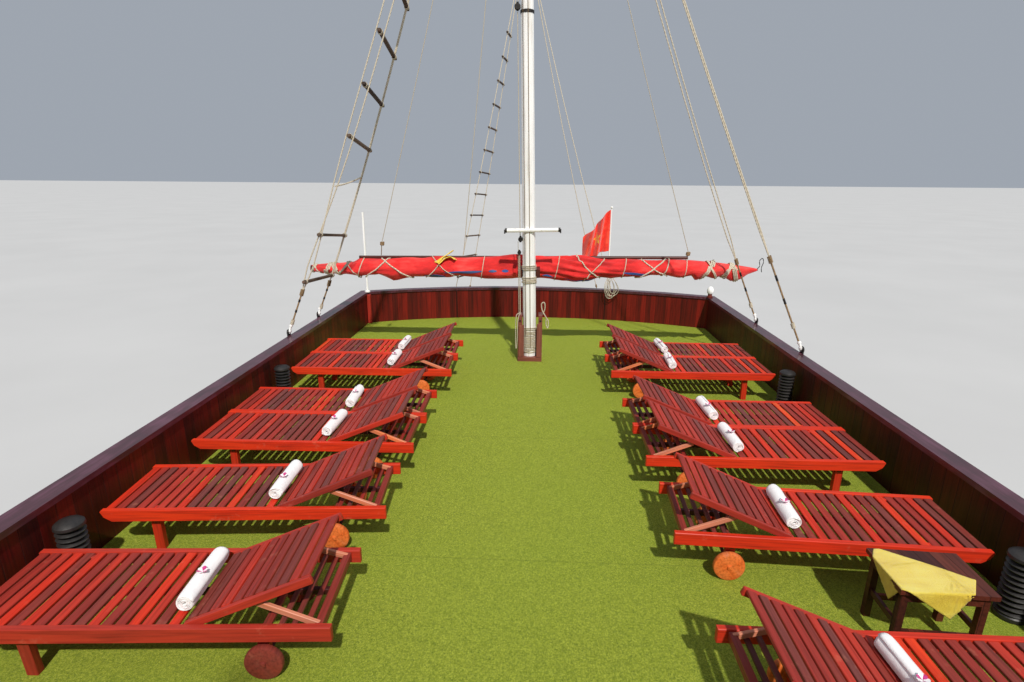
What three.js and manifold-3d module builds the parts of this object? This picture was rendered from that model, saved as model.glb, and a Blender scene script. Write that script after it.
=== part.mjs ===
// A three-masted timber junk that carries guests round a sheltered bay, 26 m long.
// Millimetres. +X starboard, +Y to the bow, +Z up. Z = 0 is the waterline, X = 0 the
// centreline, and Y = 0 lies 1 m abaft the main mast. The open sundeck over the deckhouse
// holds that mast and the loungers.

import * as THREE from 'three';
import { mergeVertices } from 'three/addons/utils/BufferGeometryUtils.js';
import Module from 'manifold-3d';

const wasm = await Module();
wasm.setup();

// Driving dimensions of the ship
const TOUCH_GAP = 0.3;
const PIN_GAP = 8;
const PLANK = 60;

// Hull: y, half breadth at the rail, half breadth at the bilge, keel z, deck z, rail z
const STATIONS = [
  [-15000, 2800, 2100, 250, 950, 2050],
  [-13000, 3080, 2550, -180, 850, 1780],
  [-10500, 3300, 2950, -720, 850, 1600],
  [-7000, 3420, 3200, -1050, 850, 1500],
  [-2000, 3450, 3300, -1200, 850, 1450],
  [3000, 3440, 3220, -1180, 850, 1470],
  [5400, 3280, 2800, -1030, 950, 1600],
  [7400, 2920, 2180, -770, 1120, 1770],
  [9150, 2420, 1500, -350, 1290, 1950],
  [10300, 1950, 1000, 330, 1450, 2120],
  [11200, 1480, 850, 1150, 1600, 2280],
];
const BILGE_STEPS = 5;
const BULWARK_THICK = 90;
const KEEL_HALF = 110;
const KEEL_FOOT = -1500;
const STERN_GEAR = { shaftZ: -870, sternPostY: -12650, rudderY: -13350, soleTop: -1400 };

// Deckhouse under the sundeck
const HOUSE = { half: 2450, back: -11500, front: 1900, floor: 850, top: 2970 };
const WINDOW = { width: 1050, height: 850, sill: 1750, count: 8, pitch: 1600, first: -10400 };
const DOOR = { leaf: 700, height: 1960, thick: 45, clear: 6 };
const GALLERY = { x: 2980, post: 90, first: -9300, last: 2900, count: 8 };

// Sundeck
const DECK_TOP = 3088;
const TURF_TOP = 3100;
const SUN = { half: 3156, sideFront: 3050, middleFront: 3720, back: -7600 };
const BULWARK = { thick: 110, top: 3650, capTop: 3695, capIn: 20, capOut: 164 };
const FRONT_STEPS = 8;

// Raised poop behind the sundeck
const POOP = { half: 3250, back: -13300, deckTop: 4100, deckThick: 120, railHigh: 900 };

// Masts: foot centre, height, radius at foot and head
const MAIN_MAST = { x: -70, y: 1000, foot: 3160, high: 9640, low: 100, head: 72, leanDeg: 1.3 };
const FORE_MAST = { x: -180, y: 9300, foot: 1380, high: 10450, low: 105, head: 70, leanDeg: 1.3 };
const MIZZEN_MAST = { x: 0, y: -11400, foot: 4160, high: 6500, low: 85, head: 60, leanDeg: 0 };
const BOOM_AHEAD = 430;
const STAY_RADIUS = 12;
const RUNG_RADIUS = 28;
const ROPE_SIDES = 4;

// Colours by finish: colour, roughness, metalness
const FINISH = {
  mahogany: [0x7a1f12, 0.35, 0],
  darkTimber: [0x3d120d, 0.45, 0],
  hullTimber: [0x5a2a17, 0.55, 0],
  cap: [0x4a2030, 0.3, 0],
  whitePaint: [0xe6e4dc, 0.45, 0],
  turf: [0x7f9a2c, 0.95, 0],
  sail: [0xd02a22, 0.85, 0],
  rope: [0xb49a6c, 0.9, 0],
  glass: [0x2b3a3f, 0.1, 0],
  bronze: [0xa9803c, 0.35, 1],
  iron: [0x2a2c2e, 0.6, 0.7],
  flag: [0xcf2019, 0.8, 0],
};

// Solids from closed three.js geometries
function solidOf(geometry) {
  const bare = geometry.clone();
  bare.deleteAttribute('normal');
  bare.deleteAttribute('uv');
  const merged = mergeVertices(bare, 1e-3);
  return new wasm.Manifold(new wasm.Mesh({
    numProp: 3,
    vertProperties: merged.attributes.position.array,
    triVerts: Uint32Array.from(merged.index.array),
  }));
}

function geometryOf(solid) {
  const mesh = solid.getMesh();
  const geometry = new THREE.BufferGeometry();
  geometry.setAttribute('position', new THREE.BufferAttribute(mesh.vertProperties, 3));
  geometry.setIndex(new THREE.BufferAttribute(mesh.triVerts, 1));
  geometry.computeVertexNormals();
  return geometry;
}

const join = (...solids) => solids.reduce((all, one) => all.add(one));
const cut = (whole, ...solids) => solids.reduce((rest, one) => rest.subtract(one), whole);

function block([x0, y0, z0], [x1, y1, z1]) {
  const box = new THREE.BoxGeometry(x1 - x0, y1 - y0, z1 - z0);
  box.translate((x0 + x1) / 2, (y0 + y1) / 2, (z0 + z1) / 2);
  return solidOf(box);
}

function rod(from, to, radius, endRadius = radius, sides = 8) {
  const start = new THREE.Vector3(...from);
  const span = new THREE.Vector3(...to).sub(start);
  const tube = new THREE.CylinderGeometry(endRadius, radius, span.length(), sides);
  const up = new THREE.Vector3(0, 1, 0);
  const turn = new THREE.Quaternion().setFromUnitVectors(up, span.clone().normalize());
  tube.applyQuaternion(turn);
  tube.translate(...start.addScaledVector(span, 0.5).toArray());
  return solidOf(tube);
}

// A beam of rectangular section between two points, its wide face up
function beam(from, to, width, depth) {
  const start = new THREE.Vector3(...from);
  const along = new THREE.Vector3(...to).sub(start);
  const length = along.length();
  const side = new THREE.Vector3(0, 0, 1).cross(along).normalize();
  const up = along.clone().normalize().cross(side.clone().negate()).negate();
  const box = new THREE.BoxGeometry(length, width, depth);
  const basis = new THREE.Matrix4().makeBasis(along.clone().normalize(), side, up);
  box.applyMatrix4(basis);
  box.translate(...start.addScaledVector(along, 0.5).toArray());
  return solidOf(box);
}

// A plan outline in x and y, raised from one height to another
function plan(outline, low, high) {
  const shape = new THREE.Shape(outline.map(([x, y]) => new THREE.Vector2(x, y)));
  const raised = new THREE.ExtrudeGeometry(shape, { depth: high - low, bevelEnabled: false });
  raised.translate(0, 0, low);
  return solidOf(raised);
}

// A side profile in y and z, as thick as from one x to another
function profile(outline, left, right) {
  const shape = new THREE.Shape(outline.map(([y, z]) => new THREE.Vector2(y, z)));
  const raised = new THREE.ExtrudeGeometry(shape, { depth: right - left, bevelEnabled: false });
  raised.applyMatrix4(new THREE.Matrix4().set(0, 0, 1, left, 1, 0, 0, 0, 0, 1, 0, 0, 0, 0, 0, 1));
  return solidOf(raised);
}

// A closed skin through rings that all have the same number of points. The second half
// of each ring takes the other diagonal, so that port mirrors starboard.
function loft(rings) {
  const count = rings[0].length;
  const points = rings.flat(2);
  const faces = [];
  for (let r = 0; r + 1 < rings.length; r++) {
    for (let i = 0; i < count; i++) {
      const a = r * count + i;
      const b = r * count + (i + 1) % count;
      if (i < Math.floor(count / 2)) {
        faces.push(a, b, a + count, b, b + count, a + count);
      } else {
        faces.push(a, b, b + count, a, b + count, a + count);
      }
    }
  }
  const last = (rings.length - 1) * count;
  for (let i = 1; i + 1 < count; i++) {
    faces.push(0, i + 1, i, last, last + i, last + i + 1);
  }
  const skin = new THREE.BufferGeometry();
  skin.setAttribute('position', new THREE.Float32BufferAttribute(points, 3));
  skin.setIndex(signedVolume(points, faces) < 0 ? faces.reverse() : faces);
  return solidOf(skin);
}

function signedVolume(points, faces) {
  const corner = (i) => new THREE.Vector3(...points.slice(3 * i, 3 * i + 3));
  let six = 0;
  for (let f = 0; f < faces.length; f += 3) {
    six += corner(faces[f]).dot(corner(faces[f + 1]).cross(corner(faces[f + 2])));
  }
  return six / 6;
}

// The ship is a group; each sub-part is one mesh with a finish and a place
const ship = new THREE.Group();
const DEG = Math.PI / 180;

function part(name, solid, finish, place = {}, parent = ship) {
  const [color, roughness, metalness] = FINISH[finish];
  const material = new THREE.MeshStandardMaterial({ color, roughness, metalness });
  const mesh = new THREE.Mesh(geometryOf(solid), material);
  mesh.name = name;
  mesh.position.set(...(place.at ?? [0, 0, 0]));
  mesh.rotation.set(...(place.turn ?? [0, 0, 0]));
  parent.add(mesh);
  return mesh;
}

// Hull
function stationAt(y) {
  const next = STATIONS.findIndex((station) => station[0] >= y);
  const [a, b] = [STATIONS[Math.max(next - 1, 0)], STATIONS[Math.max(next, 1)]];
  const share = (y - a[0]) / (b[0] - a[0]);
  return a.map((value, i) => value + share * (b[i] - value));
}

const railHalf = (y) => stationAt(y)[1];
const deckZ = (y) => stationAt(y)[4];
const railZ = (y) => stationAt(y)[5];

function sectionRing([y, rail, bilge, keel, , railTop]) {
  const knuckle = (keel + railTop) / 2;
  const half = [[rail, railTop]];
  for (let step = BILGE_STEPS; step > 0; step--) {
    const angle = step / BILGE_STEPS * Math.PI / 2;
    half.push([bilge * Math.sin(angle) ** 0.8, keel + (knuckle - keel) * (1 - Math.cos(angle))]);
  }
  const starboard = half.map(([x, z]) => [x, y, z]);
  const port = half.map(([x, z]) => [-x, y, z]).reverse();
  return [...starboard, [0, y, keel], ...port];
}

// The space above the deck, wide enough to cut the whole hull
function aboveDeck(lift) {
  const reach = 4000;
  const ends = STATIONS.map(([y], i) => y + (i === 0 ? -100 : 0) + (i === STATIONS.length - 1 ? 100 : 0));
  return loft(STATIONS.map((station, i) => {
    const z = station[4] + lift;
    return [[-reach, ends[i], z], [reach, ends[i], z], [reach, ends[i], 5000], [-reach, ends[i], 5000]];
  }));
}

// The space between the bulwarks
function deckWell() {
  return loft(STATIONS.map(([y, rail, bilge, keel, deck, top], i) => {
    const knuckle = (keel + top) / 2;
    const atDeck = bilge + (rail - bilge) * (deck - knuckle) / (top - knuckle) - BULWARK_THICK;
    const over = rail + (rail - bilge) / (top - knuckle) * 300 - BULWARK_THICK;
    const end = (i === 0 ? BULWARK_THICK : 0) - (i === STATIONS.length - 1 ? BULWARK_THICK : 0);
    const floor = deckZ(y + end);
    return [[over, y + end, top + 300], [atDeck, y + end, floor],
      [-atDeck, y + end, floor], [-over, y + end, top + 300]];
  }));
}

const { shaftZ, sternPostY, rudderY, soleTop } = STERN_GEAR;
const hullBody = loft(STATIONS.map(sectionRing));
const keelPlate = profile([
  [9560, -250], [7900, -1150], [7100, KEEL_FOOT], [-13950, KEEL_FOOT], [-13950, soleTop],
  [sternPostY, soleTop], [sternPostY, 0], [9150, 0],
], -KEEL_HALF, KEEL_HALF);
const shaftBore = rod([0, sternPostY - 10, shaftZ], [0, sternPostY + 260, shaftZ], 56, 56, 16);
const rudderBore = rod([0, rudderY, KEEL_FOOT - 10], [0, rudderY, 300], 70, 70, 16);
const hull = cut(join(cut(hullBody, aboveDeck(0)), keelPlate), shaftBore, rudderBore);
const hullBulwark = cut(hullBody.intersect(aboveDeck(TOUCH_GAP)), deckWell());
part('hull', hull, 'hullTimber');
part('hull_bulwark', hullBulwark, 'mahogany');

// What stands on the rising foredeck is cut to its line, in a frame at y and height
function seatOnDeck(solid, y, height) {
  const reach = 900;
  const bends = STATIONS.map(([station]) => station - y).filter((along) => Math.abs(along) < reach);
  const line = [reach, ...bends.reverse(), -reach];
  const top = line.map((along) => [along, deckZ(y + along) - height + TOUCH_GAP]);
  return cut(solid, profile([[-reach, -reach], [reach, -reach], ...top], -reach, reach));
}

// Rudder and propeller
const rudderBlade = profile([
  [100, 935], [100, -30], [-600, -30], [-800, 300], [-780, 860], [-500, 935],
], -45, 45);
part('rudder', join(
  rudderBlade,
  rod([0, 0, -110], [0, 0, 1240], 60, 60, 12),
), 'darkTimber', { at: [0, rudderY, -1355] });

function propellerShape() {
  const blades = 4;
  let shape = join(
    rod([0, -130, 0], [0, 130, 0], 80, 115, 12),
    rod([0, 100, 0], [0, 430, 0], 46, 46, 12),
  );
  for (let i = 0; i < blades; i++) {
    const blade = new THREE.SphereGeometry(1, 8, 4);
    blade.scale(150, 20, 210);
    blade.rotateZ(35 * DEG);
    blade.translate(0, 0, 260);
    blade.rotateY(i * 2 * Math.PI / blades);
    shape = shape.add(solidOf(blade));
  }
  return shape;
}
part('propeller', propellerShape(), 'bronze', { at: [0, sternPostY - 200, shaftZ] });

// Deckhouse walls, each as thick as a framed timber wall, windows and doors cut
const houseFoot = HOUSE.floor + TOUCH_GAP;
const houseHead = HOUSE.top - TOUCH_GAP;

function houseSide(side) {
  const [inner, outer] = [HOUSE.half - PLANK, HOUSE.half];
  const [left, right] = side > 0 ? [inner, outer] : [-outer, -inner];
  let wall = block([left, HOUSE.back, houseFoot], [right, HOUSE.front, houseHead]);
  for (let i = 0; i < WINDOW.count; i++) {
    const y = WINDOW.first + i * WINDOW.pitch;
    wall = cut(wall, block([left - 10, y - WINDOW.width / 2, WINDOW.sill],
      [right + 10, y + WINDOW.width / 2, WINDOW.sill + WINDOW.height]));
  }
  return wall;
}

// One long pane stands behind the windows of a side
function sideGlass(side) {
  const near = HOUSE.half - PLANK - TOUCH_GAP;
  const far = near - 12;
  const [left, right] = side > 0 ? [far, near] : [-near, -far];
  return block([left, WINDOW.first - 700, WINDOW.sill - 60],
    [right, WINDOW.first + (WINDOW.count - 1) * WINDOW.pitch + 700, WINDOW.sill + WINDOW.height + 60]);
}

function houseEnd(y, doorLeft, doorRight) {
  const half = HOUSE.half - PLANK - TOUCH_GAP;
  const wall = block([-half, y, houseFoot], [half, y + PLANK, houseHead]);
  return cut(wall, block([doorLeft, y - 10, HOUSE.floor - 10],
    [doorRight, y + PLANK + 10, HOUSE.floor + 20 + DOOR.height + DOOR.clear]));
}

// A leaf hangs on its own edge, so its local origin is the hinge line
function doorLeaf(toward) {
  const [near, far] = [DOOR.clear, DOOR.leaf - DOOR.clear];
  const [left, right] = toward > 0 ? [near, far] : [-far, -near];
  const leaf = block([left, -DOOR.thick, 20], [right, 0, DOOR.height]);
  const margin = 110;
  const light = block([left + margin, -DOOR.thick - 5, 1050], [right - margin, -14, DOOR.height - 130]);
  return cut(leaf, light);
}

part('deckhouse_port', houseSide(-1), 'mahogany');
part('deckhouse_starboard', houseSide(1), 'mahogany');
part('window_glass_port', sideGlass(-1), 'glass');
part('window_glass_starboard', sideGlass(1), 'glass');
part('deckhouse_front', houseEnd(HOUSE.front - PLANK, -DOOR.leaf, DOOR.leaf), 'mahogany');
part('deckhouse_back', houseEnd(HOUSE.back, -DOOR.leaf, 0), 'mahogany');
part('door_front_port', doorLeaf(1), 'darkTimber', { at: [-DOOR.leaf, HOUSE.front, HOUSE.floor] });
part('door_front_starboard', doorLeaf(-1), 'darkTimber', { at: [DOOR.leaf, HOUSE.front, HOUSE.floor] });
part('door_back', doorLeaf(1), 'darkTimber',
  { at: [0, HOUSE.back, HOUSE.floor], turn: [0, 0, Math.PI] });

// Galleries: posts and a header that carry the sundeck's overhang
function gallery(side) {
  const half = GALLERY.post / 2;
  const x = side * GALLERY.x;
  const pitch = (GALLERY.last - GALLERY.first) / (GALLERY.count - 1);
  const header = block([x - half, GALLERY.first - half, HOUSE.top - 140],
    [x + half, GALLERY.last + half, HOUSE.top - TOUCH_GAP]);
  const posts = Array.from({ length: GALLERY.count }, (_, i) => {
    const y = GALLERY.first + i * pitch;
    return block([x - half, y - half, HOUSE.floor + TOUCH_GAP], [x + half, y + half, HOUSE.top - 100]);
  });
  const brackets = posts.slice(0, -1).map((_, i) => {
    const y = GALLERY.first + i * pitch;
    const reach = 320;
    const web = [[y, HOUSE.top - 120], [y, HOUSE.top - 120 - reach], [y + reach, HOUSE.top - 120]];
    return profile(web, x - 20, x + 20);
  });
  return join(header, ...posts, ...brackets);
}
part('gallery_port', gallery(-1), 'mahogany');
part('gallery_starboard', gallery(1), 'mahogany');

// Sundeck: its front edge is one flat arc between the corners
function frontArc(offset, half) {
  const rise = SUN.middleFront - SUN.sideFront;
  const radius = (SUN.half ** 2 + rise ** 2) / (2 * rise);
  const centreY = SUN.middleFront - radius;
  return Array.from({ length: FRONT_STEPS + 1 }, (_, i) => {
    const x = -half + 2 * half * i / FRONT_STEPS;
    return [x, centreY + Math.sqrt((radius + offset) ** 2 - x ** 2)];
  });
}

function deckOutline(offset, back) {
  const half = SUN.half + offset;
  return [[-half, back], ...frontArc(offset, half), [half, back]].reverse();
}

const slabOffset = 144;
const foot = DECK_TOP + TOUCH_GAP;
part('sundeck', plan(deckOutline(slabOffset, -13500), HOUSE.top, DECK_TOP), 'darkTimber');
part('turf', plan(deckOutline(-3, SUN.back + 5), foot, TURF_TOP), 'turf');

const bulwarkRing = cut(
  plan(deckOutline(BULWARK.thick, SUN.back + TOUCH_GAP), foot, BULWARK.top - TOUCH_GAP),
  plan(deckOutline(0, SUN.back - 100), DECK_TOP - 10, BULWARK.top + 10),
);
const cornerY = SUN.sideFront - 60;
const far = 5000;
const zone = (left, right, back, front) => block([left, back, 2900], [right, front, 4000]);
part('bulwark_port', bulwarkRing.intersect(zone(-far, 0, -9000, cornerY - TOUCH_GAP)), 'mahogany');
part('bulwark_starboard', bulwarkRing.intersect(zone(0, far, -9000, cornerY - TOUCH_GAP)), 'mahogany');
part('bulwark_front', bulwarkRing.intersect(zone(-far, far, cornerY, far)), 'mahogany');
part('cap_rail', cut(
  plan(deckOutline(BULWARK.capOut - BULWARK.capIn, SUN.back + TOUCH_GAP), BULWARK.top, BULWARK.capTop),
  plan(deckOutline(-BULWARK.capIn, SUN.back - 100), BULWARK.top - 10, BULWARK.capTop + 10),
), 'cap');

// Poop: a low cabin top behind the sundeck, with a railed deck over it
const poopFloor = POOP.deckTop - POOP.deckThick;

function poopWalls() {
  const ring = (inset, low, high) => block(
    [-POOP.half + inset, POOP.back + inset, low],
    [POOP.half - inset, SUN.back - inset, high],
  );
  let walls = cut(ring(0, foot, poopFloor - TOUCH_GAP), ring(PLANK, DECK_TOP - 10, poopFloor + 10));
  const light = { low: 3380, high: 3800, half: 330 };
  for (let y = -12500; y < -8000; y += 1300) {
    walls = cut(walls, block([-far, y - light.half, light.low], [far, y + light.half, light.high]));
  }
  for (let x = -1900; x < 2000; x += 1900) {
    walls = cut(walls, block([x - light.half, POOP.back - 10, light.low],
      [x + light.half, POOP.back + 200, light.high]));
  }
  return walls;
}
part('poop_walls', poopWalls(), 'mahogany');
part('poop_deck', block([-3300, -13500, poopFloor], [3300, SUN.back + 50, POOP.deckTop]), 'darkTimber');

// Railing: a top rail, a middle rail and posts. The two stairs part it into two lengths,
// each listed as the corners that it runs through.
const RAIL = { x: 3230, back: -13430, front: SUN.back - 20 };
const RAIL_LENGTHS = {
  poop_rail_port: [[1300, RAIL.front], [-RAIL.x, RAIL.front], [-RAIL.x, RAIL.back], [1000, RAIL.back]],
  poop_rail_starboard: [[1900, RAIL.back], [RAIL.x, RAIL.back], [RAIL.x, RAIL.front], [2500, RAIL.front]],
};

function railing(corners) {
  const [low, top] = [POOP.deckTop + TOUCH_GAP, POOP.deckTop + POOP.railHigh];
  const pieces = [];
  for (let c = 0; c + 1 < corners.length; c++) {
    const [[x0, y0], [x1, y1]] = [corners[c], corners[c + 1]];
    for (const [z, high, half] of [[top - 60, 60, 45], [low + 90, 50, 25]]) {
      pieces.push(block([Math.min(x0, x1) - half, Math.min(y0, y1) - half, z],
        [Math.max(x0, x1) + half, Math.max(y0, y1) + half, z + high]));
    }
    const bays = Math.max(1, Math.round(Math.hypot(x1 - x0, y1 - y0) / 1200));
    for (let i = 0; i <= bays; i++) {
      const [px, py] = [x0 + (x1 - x0) * i / bays, y0 + (y1 - y0) * i / bays];
      pieces.push(block([px - 35, py - 35, low], [px + 35, py + 35, top - 20]));
    }
  }
  return join(...pieces);
}
for (const [name, corners] of Object.entries(RAIL_LENGTHS)) {
  part(name, railing(corners), 'mahogany');
}

// Steep stair between two heights, climbing towards +Y in its own frame
function stair(width, rise, run, treads) {
  const depth = 130;
  const string = [[0, 0], [depth * 1.4, 0], [run, rise - depth], [run, rise], [run - 60, rise], [0, 60]];
  const pieces = [profile(string, 0, 40), profile(string, width - 40, width)];
  for (let i = 1; i <= treads; i++) {
    const share = i / (treads + 1);
    const [y, z] = [share * run, share * rise];
    pieces.push(block([20, y - 30, z - 35], [width - 20, y + 130, z]));
  }
  return join(...pieces);
}
const poopStair = stair(900, POOP.deckTop - TURF_TOP, 1000, 4);
part('stair_poop', poopStair, 'mahogany',
  { at: [2350, SUN.back + 1060, TURF_TOP + TOUCH_GAP], turn: [0, 0, Math.PI] });
part('stern_ladder', stair(800, POOP.deckTop - 960, 780, 11), 'mahogany',
  { at: [1050, -14300, 952] });

// Furniture of the sundeck. A lounger's local +X runs from its foot to its head end.
const LOUNGER = { long: 2000, wide: 674, top: 370, rail: 90, hinge: 220, tipX: 905, tipZ: 660 };

function loungerShape(offset) {
  const { long, wide, top, rail, hinge, tipX, tipZ } = LOUNGER;
  const [half, edge] = [long / 2, wide / 2];
  const place = (low, high) => block([low[0], low[1] + offset, low[2]], [high[0], high[1] + offset, high[2]]);
  const pieces = [
    place([-half, -edge, top - rail], [half, -edge + 38, top]),
    place([-half, edge - 38, top - rail], [half, edge, top]),
    place([half - 100, -edge, top - rail + 10], [half - 55, edge, top - 20]),
    place([-half + 10, -edge + 20, top - 28], [hinge, edge - 20, top - 2]),
    place([half - 330, -edge + 20, top - 75], [half - 290, edge - 20, top - 35]),
    place([half - 440, -edge + 45, 60], [half - 380, -edge + 85, top - 60]),
    place([half - 440, edge - 85, 60], [half - 380, edge - 45, top - 60]),
    place([half - 440, -edge + 20, top - 85], [half - 380, edge - 20, top - 50]),
    place([-half + 420, -edge + 2, 0], [-half + 480, -edge + 42, top - 10]),
    place([-half + 420, edge - 42, 0], [-half + 480, edge - 2, top - 10]),
  ];
  const back = beam([hinge - 20, offset, top - 18], [tipX, offset, tipZ - 18], wide - 76, 32);
  const props = [-1, 1].map((side) => beam([tipX - 345, offset + side * 270, tipZ - 175],
    [half - 60, offset + side * 270, top - 30], 30, 22));
  const wheels = [-1, 1].map((side) => rod(
    [half - 410, offset + side * (edge - 55) - 20 * side, 100],
    [half - 410, offset + side * (edge - 55) + 22 * side, 100], 100, 100, 10));
  return join(...pieces, back, ...props, ...wheels);
}

// Name, side, centre x, centre y, turn in degrees, and how many stand rail to rail
const LOUNGERS = [
  ['lounger_L1', -1, -2054, -4567, 3.5, 1],
  ['lounger_L2', -1, -2061, -3463, 4.2, 1],
  ['loungers_L3_L4', -1, -2067, -2060, 0.9, 2],
  ['loungers_L5_L6', -1, -2031, -26, 1.0, 2],
  ['lounger_R1', 1, 1990, -5045, 0, 1],
  ['lounger_R2', 1, 1977, -3623, -2.8, 1],
  ['loungers_R3_R4', 1, 1966, -2155, 0.45, 2],
  ['loungers_R5_R6', 1, 1953, 77, 0.25, 2],
];
for (const [name, side, x, y, turn, count] of LOUNGERS) {
  const offsets = count === 1 ? [0] : [-LOUNGER.wide / 2, LOUNGER.wide / 2];
  const shape = join(...offsets.map(loungerShape));
  const heading = (turn + (side > 0 ? 180 : 0)) * DEG;
  part(name, shape, 'mahogany', { at: [x, y, TURF_TOP + TOUCH_GAP], turn: [0, 0, heading] });
}

// Side table between the first two starboard loungers
function tableShape() {
  const [halfX, halfY, high] = [260, 190, 450];
  const top = block([-halfX, -halfY, high - 28], [halfX, halfY, high]);
  const apron = block([-halfX + 25, -halfY + 25, high - 90], [halfX - 25, halfY - 25, high - 20]);
  const legs = [-1, 1].flatMap((sx) => [-1, 1].map((sy) => {
    const [x, y] = [sx * (halfX - 45), sy * (halfY - 45)];
    return block([x - 20, y - 20, 0], [x + 20, y + 20, high - 60]);
  }));
  const rails = [-1, 1].flatMap((s) => [
    block([-halfX + 40, s * (halfY - 45) - 10, 120], [halfX - 40, s * (halfY - 45) + 10, 155]),
    block([s * (halfX - 45) - 10, -halfY + 40, 170], [s * (halfX - 45) + 10, halfY - 40, 205]),
  ]);
  return join(top, apron, ...legs, ...rails);
}
part('side_table', tableShape(), 'darkTimber',
  { at: [2330, -4320, TURF_TOP + TOUCH_GAP], turn: [0, 0, -3 * DEG] });

// Helm on the poop
function wheelShape() {
  const rim = new THREE.TorusGeometry(360, 26, 5, 16);
  rim.rotateX(Math.PI / 2);
  const spokes = Array.from({ length: 8 }, (_, i) => {
    const [x, z] = [Math.cos(i * Math.PI / 4), Math.sin(i * Math.PI / 4)];
    return rod([x * 30, 0, z * 30], [x * 500, 0, z * 500], 16, 14, 4);
  });
  return join(solidOf(rim), rod([0, -40, 0], [0, 40, 0], 70, 70, 12),
    rod([0, 0, 0], [0, 160, 0], 22, 22, 10), ...spokes);
}
const HELM = { y: -8500, hub: 780 };
part('helm_stand', cut(
  join(block([-190, -140, TOUCH_GAP], [190, 140, 900]), block([-230, -180, 880], [230, 180, 960])),
  rod([0, -200, HELM.hub], [0, 60, HELM.hub], 26, 26, 12),
), 'mahogany', { at: [0, HELM.y, POOP.deckTop] });
part('helm_wheel', wheelShape(), 'mahogany', { at: [0, HELM.y - 260, POOP.deckTop + HELM.hub] });

// Foredeck: hatch, windlass and anchors
const HATCH = { y: 4700, halfX: 650, halfY: 560, high: 520 };
const hatchFoot = deckZ(HATCH.y);
part('hatch_coaming', cut(
  seatOnDeck(block([-HATCH.halfX, -HATCH.halfY, -60], [HATCH.halfX, HATCH.halfY, HATCH.high]),
    HATCH.y, hatchFoot),
  block([-HATCH.halfX + 50, -HATCH.halfY + 50, 120],
    [HATCH.halfX - 50, HATCH.halfY - 50, HATCH.high + 10]),
), 'mahogany', { at: [0, HATCH.y, hatchFoot] });
part('hatch_lid', cut(
  block([-HATCH.halfX - 40, -2 * HATCH.halfY - 40, 6], [HATCH.halfX + 40, 40, 66]),
  block([-HATCH.halfX + 120, -2 * HATCH.halfY + 120, 40], [HATCH.halfX - 120, -120, 70]),
), 'darkTimber', { at: [0, HATCH.y + HATCH.halfY, hatchFoot + HATCH.high] });

const WINDLASS = { y: 10200, cheek: 420, axle: 420 };
const windlassFoot = deckZ(WINDLASS.y);
const windlassCheeks = [-1, 1].map((side) => block(
  [side * WINDLASS.cheek - 40, -170, -100], [side * WINDLASS.cheek + 40, 170, WINDLASS.axle + 110]));
const windlassBase = block([-WINDLASS.cheek, -220, -100], [WINDLASS.cheek, 220, 60]);
const windlassFrame = cut(join(...windlassCheeks, windlassBase),
  rod([-600, 0, WINDLASS.axle], [600, 0, WINDLASS.axle], 48, 48, 16));
part('windlass_frame', seatOnDeck(windlassFrame, WINDLASS.y, windlassFoot), 'darkTimber',
  { at: [0, WINDLASS.y, windlassFoot] });
part('windlass_drum', join(
  rod([-780, 0, 0], [780, 0, 0], 40, 40, 12),
  rod([-365, 0, 0], [365, 0, 0], 130, 130, 12),
  rod([-760, 0, 0], [-480, 0, 0], 150, 110, 12),
  rod([480, 0, 0], [760, 0, 0], 110, 150, 12),
), 'iron', { at: [0, WINDLASS.y, windlassFoot + WINDLASS.axle] });

// An anchor hangs by its ring from a cathead that lies over the rail
function anchorShape(side) {
  const cathead = block([Math.min(-330 * side, 70 * side), -60, 52],
    [Math.max(-330 * side, 70 * side), 60, 160]);
  return join(
    cathead,
    rod([0, 0, 0], [0, 0, 80], 22, 22, 8),
    rod([0, 0, -1150], [0, 0, 0], 38, 32, 8),
    rod([0, -350, -90], [0, 350, -90], 26, 26, 8),
    rod([0, 0, -1130], [0, -430, -760], 36, 24, 8),
    rod([0, 0, -1130], [0, 430, -760], 36, 24, 8),
    block([-70, -480, -800], [70, -400, -640]),
    block([-70, 400, -800], [70, 480, -640]),
    rod([-38, 0, 20], [38, 0, 20], 60, 60, 10),
  );
}
const ANCHOR_Y = 10800;
for (const [name, side] of [['anchor_port', -1], ['anchor_starboard', 1]]) {
  part(name, anchorShape(side), 'iron',
    { at: [side * (railHalf(ANCHOR_Y) + 150), ANCHOR_Y, railZ(ANCHOR_Y) - 40] });
}

// Masts: round, tapered, with a ball at the head. The main and fore ones lean to port.
function mastShape({ high, low, head }) {
  const truck = new THREE.SphereGeometry(head * 1.35, 8, 6);
  truck.rotateX(Math.PI / 2);
  truck.translate(0, 0, high);
  return join(rod([0, 0, 0], [0, 0, high], low, head, 14), solidOf(truck));
}

function tabernacleShape(low, cheekHigh) {
  const [inner, outer] = [low + 22, low + 80];
  return join(
    block([-outer, -150, 0], [outer, 150, 60]),
    block([-outer, -120, 0], [-inner, 120, cheekHigh]),
    block([inner, -120, 0], [outer, 120, cheekHigh]),
  );
}

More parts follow.
